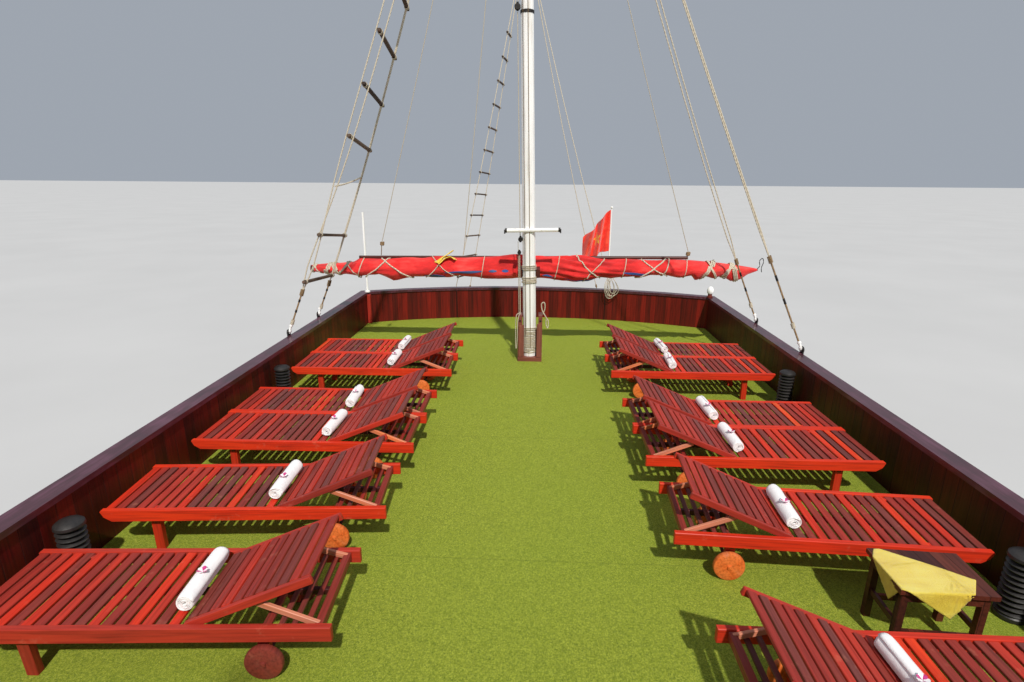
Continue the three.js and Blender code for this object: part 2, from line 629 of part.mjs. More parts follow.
const mastX = (mast, z) => mast.x - Math.tan(mast.leanDeg * DEG) * (z - mast.foot);
const mainLean = [0, -MAIN_MAST.leanDeg * DEG, 0];
const mainAt = [MAIN_MAST.x, MAIN_MAST.y, MAIN_MAST.foot + 3];
const crossSpar = { z: 1880, left: -330, right: 440, behind: 95, radius: 28 };
part('main_mast', join(
  mastShape(MAIN_MAST),
  rod([crossSpar.left, -crossSpar.behind, crossSpar.z],
    [crossSpar.right, -crossSpar.behind, crossSpar.z], crossSpar.radius),
), 'whitePaint', { at: mainAt, turn: mainLean });
part('main_tabernacle', tabernacleShape(MAIN_MAST.low, 700), 'mahogany',
  { at: [MAIN_MAST.x, MAIN_MAST.y, TURF_TOP + TOUCH_GAP] });

part('fore_mast', join(
  mastShape(FORE_MAST).rotate([0, -FORE_MAST.leanDeg, 0]),
  seatOnDeck(block([-190, -170, -200], [190, 170, 260]), FORE_MAST.y, FORE_MAST.foot),
), 'whitePaint', { at: [FORE_MAST.x, FORE_MAST.y, FORE_MAST.foot] });
part('mizzen_mast', join(
  mastShape(MIZZEN_MAST),
  block([-160, -150, -59], [160, 150, 0.5]),
), 'whitePaint', { at: [MIZZEN_MAST.x, MIZZEN_MAST.y, MIZZEN_MAST.foot] });

// Stays: a collar at the masthead, shrouds down to plates on the ship's side, and rungs
function staysShape({ head, collar, feet, plate, rungs, extra }) {
  const band = cut(
    rod([head[0], head[1], head[2] - 70], [head[0], head[1], head[2] + 70], collar + 34, collar + 34, 14),
    rod([head[0], head[1], head[2] - 90], [head[0], head[1], head[2] + 90],
      collar + 4, collar + 4, 14),
  );
  const pieces = [band];
  const start = ([x, y]) => {
    const reach = (collar + 20) / Math.hypot(x - head[0], y - head[1]);
    return [head[0] + (x - head[0]) * reach, head[1] + (y - head[1]) * reach, head[2]];
  };
  for (const [x, y, z] of [...feet, ...extra]) {
    pieces.push(rod(start([x, y]), [x, y, z], STAY_RADIUS, STAY_RADIUS, ROPE_SIDES));
  }
  for (const [x, y, z] of feet) {
    const side = Math.sign(x);
    pieces.push(block([Math.min(x - 15 * side, x + 15 * side), y - 35, z - plate],
      [Math.max(x - 15 * side, x + 15 * side), y + 35, z + 30]));
  }
  const along = (foot, z) => {
    const top = start(foot);
    const share = (z - foot[2]) / (top[2] - foot[2]);
    return new THREE.Vector3(...foot).lerp(new THREE.Vector3(...top), share);
  };
  for (const [a, b, z, tilt] of rungs) {
    const [from, to] = [along(feet[a], z), along(feet[b], z - tilt)];
    const over = to.clone().sub(from).setLength(60);
    pieces.push(rod(from.sub(over).toArray(), to.add(over).toArray(), RUNG_RADIUS, RUNG_RADIUS, ROPE_SIDES));
  }
  return join(...pieces);
}

const mainHeadZ = 12550;
const PLATE_X = SUN.half + slabOffset + 15 + TOUCH_GAP;
const RUNGS = { first: 4405, pitch: 614, count: 11, drop: 100 };
part('main_stays', staysShape({
  head: [mastX(MAIN_MAST, mainHeadZ), MAIN_MAST.y, mainHeadZ],
  collar: 78,
  feet: [[-PLATE_X, -30, 3715], [-PLATE_X, 1030, 3715], [PLATE_X, 1120, 3715], [PLATE_X, -390, 3715]],
  plate: 290,
  rungs: Array.from({ length: RUNGS.count }, (_, i) => [0, 1, RUNGS.first + i * RUNGS.pitch, RUNGS.drop]),
  extra: [],
}), 'rope');

const foreHeadZ = 11300;
const PLATE_OFF = 36;
const foreFoot = (side, y) => [side * (railHalf(y) + PLATE_OFF), y, railZ(y) + 20];
part('fore_stays', staysShape({
  head: [mastX(FORE_MAST, foreHeadZ), FORE_MAST.y, foreHeadZ],
  collar: 76,
  feet: [foreFoot(-1, 8945), foreFoot(-1, 9960), foreFoot(1, 10240), foreFoot(1, 9180)],
  plate: 290,
  rungs: Array.from({ length: 12 }, (_, i) => [0, 1, 3000 + i * 588, 40]),
  extra: [[0, 10950, railZ(11100) - 60]],
}), 'rope');

const mizzenHeadZ = 10300;
part('mizzen_stays', staysShape({
  head: [MIZZEN_MAST.x, MIZZEN_MAST.y, mizzenHeadZ],
  collar: 70,
  feet: [[-3080, -10900, 4160], [-3080, -11900, 4160], [3080, -11900, 4160], [3080, -10900, 4160]],
  plate: 60 - TOUCH_GAP,
  rungs: [],
  extra: [],
}), 'rope');

// Furled sails: lumpy bundles round a boom, with a light yard on top of the main one
function bundleShape(from, to, wide, high, lumps) {
  const steps = lumps.length - 1;
  const sides = 10;
  return loft(lumps.map((swell, i) => {
    const x = from + (to - from) * i / steps;
    return Array.from({ length: sides }, (_, k) => {
      const angle = k / sides * 2 * Math.PI;
      return [x, Math.cos(angle) * wide / 2 * swell, Math.sin(angle) * high / 2 * swell];
    });
  }));
}

// The boom holds the mast with a pair of jaws, and runs through its bundle
function boomShape(from, to, radius, mast, grow) {
  const mouth = mast.low + PIN_GAP - grow;
  const jaw = cut(
    block([-mast.low - 60 - grow, -BOOM_AHEAD - 30 - grow, -60 - grow],
      [mast.low + 60 + grow, -10, 60 + grow]),
    rod([0, -BOOM_AHEAD, -100], [0, -BOOM_AHEAD, 100], mouth, mouth, 16),
  );
  return join(rod([from, 0, 0], [to, 0, 0], radius + grow, radius * 0.8 + grow, 10), jaw);
}
const MAIN_LUMPS = [0.25, 0.72, 0.95, 1.0, 0.9, 1.04, 0.97, 1.05, 0.96, 1.0, 0.92, 0.75, 0.2];
const mainSail = new THREE.Group();
const mainBoomZ = TURF_TOP + 1310;
mainSail.position.set(mastX(MAIN_MAST, mainBoomZ), MAIN_MAST.y + BOOM_AHEAD, mainBoomZ);
mainSail.rotation.set(0, -0.6 * DEG, 0);
ship.add(mainSail);
const mainBoomSize = [-3420, 3300, 52];
const mainYard = { from: -2650, to: 2400, radius: 24, z: 175 };
const yardSolid = (grow) => rod([mainYard.from, 20, mainYard.z], [mainYard.to, 20, mainYard.z],
  mainYard.radius + grow, mainYard.radius + grow, 8);
part('main_boom', boomShape(...mainBoomSize, MAIN_MAST, 0), 'darkTimber', {}, mainSail);
part('main_yard', yardSolid(0), 'darkTimber', {}, mainSail);
part('main_sail', cut(
  bundleShape(-3150, 3420, 300, 345, MAIN_LUMPS),
  boomShape(...mainBoomSize, MAIN_MAST, TOUCH_GAP), yardSolid(TOUCH_GAP),
), 'sail', {}, mainSail);

// The other two booms lie fore and aft beside their masts
const AFT_LUMPS = [0.3, 0.9, 1.0, 0.94, 1.03, 0.96, 1.0, 0.85, 0.3];
for (const [prefix, mast, z, from, to] of [
  ['fore', FORE_MAST, 2380, -700, 3700], ['mizzen', MIZZEN_MAST, 6350, -900, 3450],
]) {
  const side = new THREE.Group();
  side.position.set(mastX(mast, z) + BOOM_AHEAD, mast.y, z);
  side.rotation.set(0, 0, -Math.PI / 2);
  ship.add(side);
  part(`${prefix}_boom`, boomShape(from, to, 48, mast, 0), 'darkTimber', {}, side);
  part(`${prefix}_sail`, cut(
    bundleShape(from + 200, to - 150, 280, 320, AFT_LUMPS),
    boomShape(from, to, 48, mast, TOUCH_GAP),
  ), 'sail', {}, side);
}

// Ensign staff over the stern and its hanging flag
const STAFF = { y: -14840, foot: 960, top: 5200 };
part('flagstaff', rod([0, STAFF.y, STAFF.foot], [0, STAFF.y, STAFF.top], 30, 22, 10), 'whitePaint');
part('ensign', plan([[0, 0], [420, -30], [450, 60], [20, 40]], -1150, -60), 'flag',
  { at: [34, STAFF.y, STAFF.top] });

export default ship;
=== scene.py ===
# %% [markdown]
# A three-masted timber junk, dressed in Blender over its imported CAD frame. The real
# ship is 26 m of red-brown hardwood. Most of what the eye meets is timber sawn into
# boards, rope, paint and cloth, so the file first makes tools for those four, and then
# uses them on one part of the ship after another, from the open sundeck outwards.

import math
import random

import bpy
import bmesh
import numpy as np
from mathutils import Matrix, Vector, noise


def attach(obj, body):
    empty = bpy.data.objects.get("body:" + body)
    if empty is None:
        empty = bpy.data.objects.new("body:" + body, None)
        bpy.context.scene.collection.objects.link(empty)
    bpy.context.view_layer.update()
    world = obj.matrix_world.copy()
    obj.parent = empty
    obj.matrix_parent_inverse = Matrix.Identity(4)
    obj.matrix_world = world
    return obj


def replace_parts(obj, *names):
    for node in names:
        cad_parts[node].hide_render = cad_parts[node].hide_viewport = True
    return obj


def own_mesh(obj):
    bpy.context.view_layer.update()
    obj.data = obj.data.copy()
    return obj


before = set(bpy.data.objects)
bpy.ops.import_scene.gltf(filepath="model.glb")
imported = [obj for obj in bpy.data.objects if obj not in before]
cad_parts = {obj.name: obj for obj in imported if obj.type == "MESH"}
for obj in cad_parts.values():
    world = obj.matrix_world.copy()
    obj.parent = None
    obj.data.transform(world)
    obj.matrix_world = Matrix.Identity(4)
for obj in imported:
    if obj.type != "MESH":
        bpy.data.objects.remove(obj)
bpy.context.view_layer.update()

# %% [markdown]
# The camera stands where the photograph was taken: over the after end of the sundeck,
# 2.6 m above the turf, looking forward and a little down. Its place was worked out from
# the lines of the deck. A lens of 19.7 mm on a 36 mm sensor gives the photograph's wide
# view, and the small roll copies a hand-held camera.

# %% Camera
PHOTO_WIDE = 1024
FOCAL_PIXELS = 561.0
SENSOR = 36.0
EYE = (0.002, -7.2, 5.723)
LOOK_DOWN, LOOK_PORT, ROLL = math.radians(15.98), math.radians(2.41), math.radians(0.43)

camera = bpy.data.objects.new("camera", bpy.data.cameras.new("camera"))
camera.data.sensor_width = SENSOR
camera.data.lens = FOCAL_PIXELS * SENSOR / PHOTO_WIDE
camera.data.clip_end = 2000
turned = Matrix.Rotation(LOOK_PORT, 4, "Z") @ Matrix.Rotation(math.pi / 2 - LOOK_DOWN, 4, "X")
camera.matrix_world = Matrix.Translation(EYE) @ turned @ Matrix.Rotation(ROLL, 4, "Z")
bpy.context.scene.collection.objects.link(camera)
bpy.context.scene.camera = camera
print("lens", round(camera.data.lens, 2), "mm")

# %% [markdown]
# Sun from astern, halfway up the sky, is what models the slats in the photograph. Its
# direction was read from the shadows of a backrest and of the furled sail on the turf. An
# even pale world fills the shade as studio walls would, and standard colours keep the
# reds and greens as strong as they are on board.

# %% Light
SUN_TRAVELS = Vector((-0.21, 0.88, -1.02))

sun = bpy.data.objects.new("sun", bpy.data.lights.new("sun", "SUN"))
sun.data.energy = 3.45
sun.data.angle = math.radians(1.4)
sun.data.color = (1.0, 0.955, 0.88)
sun.rotation_euler = SUN_TRAVELS.to_track_quat("-Z", "Y").to_euler()
bpy.context.scene.collection.objects.link(sun)

world = bpy.data.worlds.new("studio")
world.use_nodes = True
world.node_tree.nodes["Background"].inputs["Color"].default_value = (0.80, 0.88, 1.0, 1)
WORLD_LIGHT = 0.43
world.node_tree.nodes["Background"].inputs["Strength"].default_value = WORLD_LIGHT
bpy.context.scene.world = world
bpy.context.scene.view_settings.view_transform = "Standard"
print("sun", round(sun.data.energy, 2), "world", WORLD_LIGHT)

# %% [markdown]
# Every finish below is built from numbers that change over a surface: the height of a
# grain line, how worn an edge is. Writing those as plain sums is easier to read than
# placing nodes, so a Wave wraps one output of a node, and its signs add Math nodes.

# %% Shader maths
class Wave:
    """A number, colour or vector that changes over a surface."""

    def __init__(self, finish, socket):
        self.finish, self.socket = finish, socket

    def sign(operation, turned=False):
        """The Math node behind a sign. turned: the Wave stands after the sign."""
        def work(self, other):
            first, second = (other, self) if turned else (self, other)
            return self.finish.node("Math", {"operation": operation}, {0: first, 1: second})
        return work

    __add__ = __radd__ = sign("ADD")
    __sub__, __rsub__ = sign("SUBTRACT"), sign("SUBTRACT", turned=True)
    __mul__ = __rmul__ = sign("MULTIPLY")
    __truediv__ = sign("DIVIDE")
    __mod__ = sign("FLOORED_MODULO")

    def parts(self):
        """The x, y and z of a vector."""
        node = self.finish.node("SeparateXYZ", {}, {0: self}).socket.node
        return [Wave(self.finish, output) for output in node.outputs]

    def edge(self):
        """How near a share from 0 to 1 is to its nearer end."""
        return self.finish.node("Math", {"operation": "MINIMUM"}, {0: self, 1: 1 - self})

    def band(self, low, high):
        """0 below low, 1 above high, and a straight slope between."""
        return self.finish.node("MapRange", {"clamp": True},
                                {"Value": self, "From Min": low, "From Max": high})


def shade(red, green, blue):
    """A colour as the eye reads it, 0 to 255, as the shader's linear colour."""
    levels = [level / 255 for level in (red, green, blue)]
    return (*(v / 12.92 if v <= 0.04045 else ((v + 0.055) / 1.055) ** 2.4 for v in levels), 1.0)


def grey(level):
    return (level, level, level, 1.0)


print("shader maths ready")

# %% [markdown]
# A Finish is the material that the waves belong to, and keeps itself under its name.
# node() is the one way to add any other node: settings first, then the sockets. A few
# turns of phrase come back in every finish: a noise stretched along the grain, colours
# along a value, a blend of two colours. lay() feeds the shader.

# %% Words for finishes
finishes = {}


class Finish:
    """A material in the making. where is a point's place on the ship, in metres."""

    def __init__(self, name):
        self.material = bpy.data.materials.new(name)
        self.material.use_nodes = True
        self.tree = self.material.node_tree
        self.where = self.node("TexCoord", {}, {}, out="Object")
        finishes[name] = self.material

    def node(self, kind, settings, sockets, out=0):
        made = self.tree.nodes.new("ShaderNode" + kind)
        for key, value in settings.items():
            setattr(made, key, value)
        for key, value in sockets.items():
            self.feed(made.inputs[key], value)
        return Wave(self, made.outputs[out])

    def feed(self, socket, value):
        if isinstance(value, Wave):
            self.tree.links.new(value.socket, socket)
        else:
            socket.default_value = value

    def of_board(self, name, out):
        """grain: a point's place on its own board, along, across and through. tone: the
        tone that each board was given, from 0 to 1."""
        return self.node("Attribute", {"attribute_name": name}, {}, out)

    def cloud(self, where, scale, detail=3.0, rough=0.55, by=None):
        """Soft noise, finer along an axis that by makes longer."""
        if by:
            where = self.node("VectorMath", {"operation": "MULTIPLY"}, {0: where, 1: by})
        return self.node("TexNoise", {},
                         {"Vector": where, "Scale": scale, "Detail": detail, "Roughness": rough})

    def ramp(self, value, stops):
        """Colours along a value. A stop is a place from 0 to 1 and the colour there."""
        made = self.node("ValToRGB", {}, {"Fac": value})
        elements = made.socket.node.color_ramp.elements
        while len(elements) < len(stops):
            elements.new(1.0)
        for element, (place, *colour) in zip(elements, stops):
            element.position = place
            element.color = shade(*colour)
        return made

    def blend(self, share, first, second, kind="MIX"):
        return self.node("Mix", {"data_type": "RGBA", "blend_type": kind},
                         {0: share, 6: first, 7: second}, out=2)

    def lay(self, bump=None, depth=0.002, strength=1.0, **sockets):
        """Feeds the shader. bump is a height from 0 to 1, and depth what 1 stands for."""
        shader = self.tree.nodes["Principled BSDF"]
        if bump is not None:
            sockets["Normal"] = self.node("Bump", {},
                                          {"Height": bump, "Distance": depth, "Strength": strength})
        for key, value in sockets.items():
            self.feed(shader.inputs[key.replace("_", " ")], value)


print("words for finishes ready")

# %% [markdown]
# The ship's joinery is stained hardwood under worn varnish. Sun has bleached some slats
# to orange-red, and others have gone a dull mauve-brown, so the colour comes from a tone
# that each board carries. Along the board runs a fine grain, which also roughens the
# varnish and lifts the surface a hair.

# %% Finish of joined boards
BOARD_TONES = [
    (0.00, 216, 136, 106), (0.04, 234, 124, 60), (0.09, 230, 108, 44), (0.14, 228, 62, 24),
    (0.24, 212, 48, 22), (0.38, 186, 54, 38), (0.52, 156, 48, 38), (0.66, 138, 54, 44),
    (0.80, 124, 62, 56), (0.92, 80, 26, 28), (1.00, 44, 12, 9),
]
CHEEK_TONES = [(0.0, 146, 84, 70), (1.0, 104, 58, 50)]


def varnished(name, tones, gloss=0.40, coat=0.10):
    finish = Finish(name)
    grain = finish.of_board("grain", "Vector")
    streak = finish.cloud(grain, 1.0, 4.0, by=(3.0, 60.0, 60.0))
    wide = finish.cloud(grain, 1.0, 2.0, by=(1.6, 14.0, 14.0))
    wear = finish.cloud(finish.where, 9.0, 4.0, 0.65)
    colour = finish.ramp(finish.of_board("tone", "Fac") + (wide - 0.5) * 0.16, tones)
    colour = finish.blend(streak.band(0.42, 0.75) * 0.45, colour, grey(0.02), "MULTIPLY")
    colour = finish.blend(wear.band(0.62, 0.80) * 0.25, colour, shade(226, 150, 120))
    finish.lay(bump=streak * 0.6 + wear * 0.4, depth=0.0016, Base_Color=colour,
               Roughness=gloss + streak * 0.22 + wear * 0.12, Specular_IOR_Level=0.28,
               Coat_Weight=coat, Coat_Roughness=0.22)


varnished("varnished_boards", BOARD_TONES)
varnished("trim_varnish", [(0.0, 150, 62, 38), (0.5, 108, 38, 25), (1.0, 66, 24, 18)], 0.45)
varnished("weathered_rungs", [(0.0, 112, 94, 80), (1.0, 58, 46, 40)], 0.6, 0.0)
varnished("facing_varnish", CHEEK_TONES, 0.5)
print("finishes", *finishes)

# %% [markdown]
# The CAD walls, decks and rails are single solids, but on the ship each is a run of
# boards. Their mesh stays as it is, so the boards are drawn from the point's own place:
# the coordinate across the boards, divided by their width, numbers each board, and what
# is left over says how near the seam is. The number feeds a noise that gives the board
# its tone, and the seam sinks by a millimetre or two.

# %% Finish of boarded walls
X, Y, Z = range(3)


def boarded(name, across, wide, tones, low, high, along=Z, gloss=0.4, coat=0.1, seam=0.035, butt=0.0,
            depth=0.85):
    """across and along: X, Y or Z. low and high: the tones of the boards. butt: the
    boards' length, if they are joined end to end. depth: how dark a seam is."""
    finish = Finish(name)
    parts = finish.where.parts()
    count = parts[across] / wide
    share = count % 1.0
    number = count - share
    slow, fine = [60.0] * 3, [14.0] * 3
    slow[along], fine[along] = 2.5, 1.2
    streak = finish.cloud(finish.where, 1.0, 4.0, by=slow)
    stain = finish.cloud(finish.where, 1.0, 3.0, by=fine)
    length = number * 0.37
    if butt:
        length = length + parts[along] / butt
        run = length % 1.0
        length = length - run
    cell = finish.node("CombineXYZ", {}, {0: number, 1: length, 2: 0.5})
    chance = finish.node("TexWhiteNoise", {"noise_dimensions": "3D"}, {"Vector": cell})
    open_seam = 1 - share.edge().band(seam * 0.4, seam)
    if butt:
        joint = 1 - run.edge().band(0.001, 0.003)
        open_seam = finish.node("Math", {"operation": "MAXIMUM"}, {0: open_seam, 1: joint})
    colour = finish.ramp(low + chance * (high - low) + (stain - 0.5) * (high - low) * 1.1, tones)
    colour = finish.blend(streak.band(0.45, 0.72) * 0.5, colour, grey(0.03), "MULTIPLY")
    colour = finish.blend(open_seam * depth, colour, shade(20, 7, 5))
    finish.lay(bump=streak * 0.25 + stain * 0.15 - open_seam, depth=0.003, Base_Color=colour,
               Roughness=gloss + streak * 0.2 + open_seam * 0.3, Specular_IOR_Level=0.28,
               Coat_Weight=coat, Coat_Roughness=0.25)


BULWARK_TONES = [(0.0, 134, 27, 18), (0.45, 108, 20, 14), (0.8, 80, 15, 11), (1.0, 50, 11, 8)]
# Darker tones for the starboard bulwark's inner face: painted shade on a face that the sun doesn't reach.
PAINTED_SHADE_TONES = [(0.0, 86, 15, 11), (1.0, 38, 8, 7)]
HOUSE_TONES = [(0.0, 150, 62, 38), (0.5, 124, 44, 28), (1.0, 84, 30, 20)]
DECK_TONES = [(0.0, 150, 96, 62), (1.0, 92, 50, 32)]
SPAR_TONES = [(0.0, 104, 48, 34), (1.0, 58, 26, 22)]
boarded("bulwark_boards", X, 0.088, BULWARK_TONES, 0.12, 0.80, seam=0.03, depth=0.45)
boarded("bulwark_lengths", Y, 0.14, BULWARK_TONES, 0.38, 0.88, seam=0.025, depth=0.35)
# The starboard bulwark's boards: the same boards as the port ones, with painted shade in their colour.
boarded("painted_shade_lengths", Y, 0.14, PAINTED_SHADE_TONES, 0.20, 0.75, seam=0.025, depth=0.35)
boarded("house_boards", Y, 0.12, HOUSE_TONES, 0.1, 0.9)
boarded("house_end_boards", X, 0.12, HOUSE_TONES, 0.1, 0.9)
boarded("deck_planks", X, 0.14, DECK_TONES, 0.1, 0.9, along=Y, gloss=0.55, coat=0.0, butt=4.0)
boarded("joinery", Z, 0.6, HOUSE_TONES, 0.1, 0.8, along=X, depth=0.0)
boarded("dark_joinery", X, 0.087, SPAR_TONES, 0.0, 1.0, along=Y, depth=0.5)
boarded("cheek_boards", Z, 0.6, CHEEK_TONES, 0.1, 0.8, along=X, depth=0.0)
boarded("cross_spars", Z, 1.0, SPAR_TONES, 0.2, 0.8, along=X, depth=0.0)
boarded("long_spars", Z, 1.0, SPAR_TONES, 0.2, 0.8, along=Y, depth=0.0)
print(len(finishes), "finishes with the boarded ones")

# %% [markdown]
# The hull is one solid, but it shows three faces to the world: planks on deck, oiled
# planks that follow the sheer on its sides, and red bottom paint. Which one a point has
# comes from the way its face looks and from its height over the water.

# %% Finish of the hull
finish = Finish("hull_planks")
x, y, z = finish.where.parts()
sheer = (y + 2.0) * (y + 2.0) * 0.0042
on_deck = finish.node("NewGeometry", {}, {}, out="Normal").parts()[Z].band(0.6, 0.8)
side_rows, deck_rows = (z - sheer) / 0.19, x / 0.14
rows = side_rows + (deck_rows - side_rows) * on_deck
share = rows % 1.0
chance = finish.node("TexWhiteNoise", {"noise_dimensions": "1D"}, {"W": rows - share})
open_seam = 1 - share.edge().band(0.02, 0.05)
streak = finish.cloud(finish.where, 1.0, 4.0, by=(34.0, 0.9, 34.0))
stain = finish.cloud(finish.where, 1.0, 4.0, by=(2.0, 0.7, 0.8))
tone = chance * 0.55 + streak * 0.25 + stain * 0.2
side = finish.ramp(tone, [(0.2, 132, 58, 34), (0.5, 108, 40, 24), (0.8, 74, 28, 19)])
deck = finish.ramp(tone, [(0.2, *DECK_TONES[0][1:]), (0.8, *DECK_TONES[1][1:])])
bottom = finish.ramp(stain, [(0.3, 96, 26, 22), (0.7, 128, 44, 36)])
wash = z + (stain - 0.5) * 0.10
colour = finish.blend(on_deck, side, deck)
colour = finish.blend(1 - wash.band(0.16, 0.30), colour, shade(78, 64, 50), "MULTIPLY")
colour = finish.blend(1 - z.band(0.115, 0.125), colour, bottom)
colour = finish.blend(open_seam * 0.6, colour, shade(22, 9, 6))
finish.lay(bump=streak * 0.2 + stain * 0.15 - open_seam, depth=0.004, Base_Color=colour,
           Roughness=0.5 + stain * 0.25, Specular_IOR_Level=0.3)
print("hull finish ready")

# %% [markdown]
# The rest of the ship's finishes: the green turf carpet, the glossy purple-brown cap,
# old white paint, rope, red canvas, dark glass, bronze, black iron and towelling. Each
# has the small unevenness that the real one shows at arm's length. On rope and canvas
# the colour also darkens with painted shade in the grooves and the hollows of the folds.

# %% Turf
finish = Finish("turf_carpet")
blades = finish.cloud(finish.where, 230.0, 3.0, 0.8, by=(1.0, 1.0, 0.2))
tufts = finish.cloud(finish.where, 84.0, 3.0, 0.75)
wear = finish.cloud(finish.where, 0.9, 3.0)
glint = finish.cloud(finish.where, 300.0, 1.0, by=(1.0, 1.6, 0.2))
carpet_seam = ((finish.where.parts()[Y] - 0.24) / 2.0 % 1.0).edge().band(0.0045, 0.001)
colour = finish.ramp(blades * 0.55 + tufts * 0.45, [
    (0.34, 54, 73, 9), (0.45, 107, 126, 21), (0.53, 146, 159, 41), (0.66, 190, 196, 80)])
colour = finish.blend(wear.band(0.35, 0.75) * 0.25, colour, shade(122, 148, 28))
colour = finish.blend(glint.band(0.60, 0.72) * 0.55, colour, shade(226, 228, 156))
colour = finish.blend(carpet_seam * 0.30, colour, shade(74, 92, 22))
finish.lay(bump=blades * 0.7 + tufts * 0.5, depth=0.008, strength=0.9, Base_Color=colour, Roughness=0.85,
           Specular_IOR_Level=0.25, Sheen_Weight=0.15, Sheen_Tint=shade(210, 220, 120))
print("turf ready")

# %% Cap varnish, white paint, iron and bronze
finish = Finish("cap_varnish")
streak = finish.cloud(finish.where, 1.0, 4.0, by=(30.0, 3.0, 30.0))
bloom = finish.cloud(finish.where, 3.0, 4.0, 0.6)
colour = finish.ramp(streak * 0.5 + bloom * 0.5, [
    (0.30, 50, 18, 24), (0.50, 76, 34, 46), (0.72, 112, 66, 86)])
finish.lay(bump=streak, depth=0.001, Base_Color=colour, Roughness=0.26 + bloom * 0.25, Coat_Weight=0.35,
           Coat_Roughness=0.15)

finish = Finish("white_paint")
runs = finish.cloud(finish.where, 1.0, 5.0, 0.6, by=(26.0, 26.0, 1.6))
bare = finish.cloud(finish.where, 34.0, 4.0, 0.7).band(0.70, 0.74)
colour = finish.ramp(runs, [(0.28, 216, 210, 200), (0.45, 246, 246, 244), (0.7, 255, 255, 254)])
colour = finish.blend(bare * 0.8, colour, shade(122, 92, 70))
finish.lay(bump=runs * 0.5 - bare * 0.5, Base_Color=colour, Roughness=0.42 + runs * 0.2 + bare * 0.2)


def metal(name, dark, light, metallic, rough):
    finish = Finish(name)
    cast = finish.cloud(finish.where, 60.0)
    patch = finish.cloud(finish.where, 6.0, 4.0, 0.65)
    colour = finish.ramp(patch * 0.7 + cast * 0.3, [(0.3, *dark), (0.7, *light)])
    finish.lay(bump=cast, depth=0.0015, Base_Color=colour, Roughness=rough + patch * 0.25, Metallic=metallic)


metal("black_iron", (26, 25, 26), (64, 60, 58), 0.6, 0.4)
metal("lamp_plastic", (22, 22, 24), (52, 48, 46), 0.0, 0.35)
metal("cast_bronze", (120, 86, 42), (198, 158, 92), 1.0, 0.3)
print("cap, paint and metals ready")

# %% Rope, canvas, towelling and glass
def rope_finish(name, dark, light):
    """Three strands laid round each other: a stripe that climbs as it goes round."""
    finish = Finish(name)
    along, around, _ = finish.of_board("grain", "Vector").parts()
    strand = finish.node("Math", {"operation": "PINGPONG"}, {0: (along + around) % 1.0, 1: 0.5}) * 2.0
    fuzz = finish.cloud(finish.where, 260.0, 2.0)
    # The colour follows the strands: lighter on their crowns and darker in the grooves between them, as
    # painted shade.
    colour = finish.ramp(strand * 0.6 + fuzz * 0.4, [(0.15, *dark), (0.75, *light)])
    finish.lay(bump=strand, depth=0.004, Base_Color=colour, Roughness=0.85)


def canvas(name, dark, mid, light, weave=900.0):
    finish = Finish(name)
    folds = finish.cloud(finish.where, 1.0, 4.0, 0.6, by=(3.0, 9.0, 9.0))
    fade = finish.cloud(finish.where, 1.7)
    threads = finish.node("TexWave", {"wave_type": "BANDS", "bands_direction": "DIAGONAL"},
                          {"Vector": finish.where, "Scale": weave / 6.0, "Distortion": 1.0})
    # The colour follows the same fold noise as the bump: darker in its hollows as painted shade, lighter on
    # its ridges as painted highlight. fade is the cloth's own uneven fading.
    colour = finish.ramp(folds * 0.6 + fade * 0.4, [(0.36, *dark), (0.52, *mid), (0.68, *light)])
    finish.lay(bump=folds * 0.8 + threads * 0.08, depth=0.012, Base_Color=colour, Roughness=0.78,
               Sheen_Weight=0.25)


def towelling(name, dark, light):
    finish = Finish(name)
    loops = finish.node("TexVoronoi", {}, {"Vector": finish.where, "Scale": 260.0}, out="Distance")
    soft = finish.cloud(finish.where, 30.0)
    colour = finish.ramp(soft, [(0.3, *dark), (0.7, *light)])
    finish.lay(bump=loops * 0.6 + soft * 0.6, depth=0.0018, Base_Color=colour, Roughness=0.95,
               Sheen_Weight=0.7)


rope_finish("pale_rope", (154, 140, 116), (242, 232, 210))
rope_finish("brown_rope", (84, 64, 44), (176, 146, 106))
canvas("red_canvas", (180, 12, 13), (238, 34, 33), (255, 82, 74))
canvas("blue_canvas", (34, 66, 132), (58, 96, 170), (104, 142, 200))
canvas("yellow_cotton", (224, 188, 44), (246, 218, 66), (255, 238, 106), 1500.0)
canvas("flag_red", (226, 34, 18), (255, 60, 36), (255, 108, 76))
canvas("star_yellow", (226, 178, 20), (250, 208, 40), (255, 224, 90))
towelling("towel_white", (244, 243, 245), (255, 255, 255))
towelling("orchid_pink", (150, 16, 84), (224, 60, 150))

finish = Finish("dark_glass")
wave = finish.cloud(finish.where, 2.4, 2.0)
smear = finish.cloud(finish.where, 14.0, 4.0)
colour = finish.ramp(wave, [(0.3, 28, 36, 40), (0.7, 58, 70, 76)])
finish.lay(bump=wave, Base_Color=colour, Roughness=0.05 + smear * 0.12, Coat_Weight=1.0)

finish = Finish("ring_orange")
scuff = finish.cloud(finish.where, 20.0, 4.0)
colour = finish.ramp(scuff, [(0.3, 206, 66, 20), (0.7, 236, 98, 40)])
finish.lay(bump=scuff, Base_Color=colour, Roughness=0.5 + scuff * 0.2)
print(len(finishes), "finishes in all")

# %% [markdown]
# Boards, rods and turned pieces could each be an object, but the deck alone has over
# five hundred of them. A Bench collects them as plain points and faces, with the place of
# each point on its own board and that board's tone, and joins them as one mesh. A slim
# chamfer on every board is what catches the light in the photograph.

# %% The bench that joins small solids
def plank_section(wide, thick, edge):
    """A rectangle with its corners taken off, as (across, up)."""
    a, b = wide / 2, thick / 2
    return [(a - edge, b), (a, b - edge), (a, edge - b), (a - edge, -b),
            (edge - a, -b), (-a, edge - b), (-a, b - edge), (edge - a, b)]


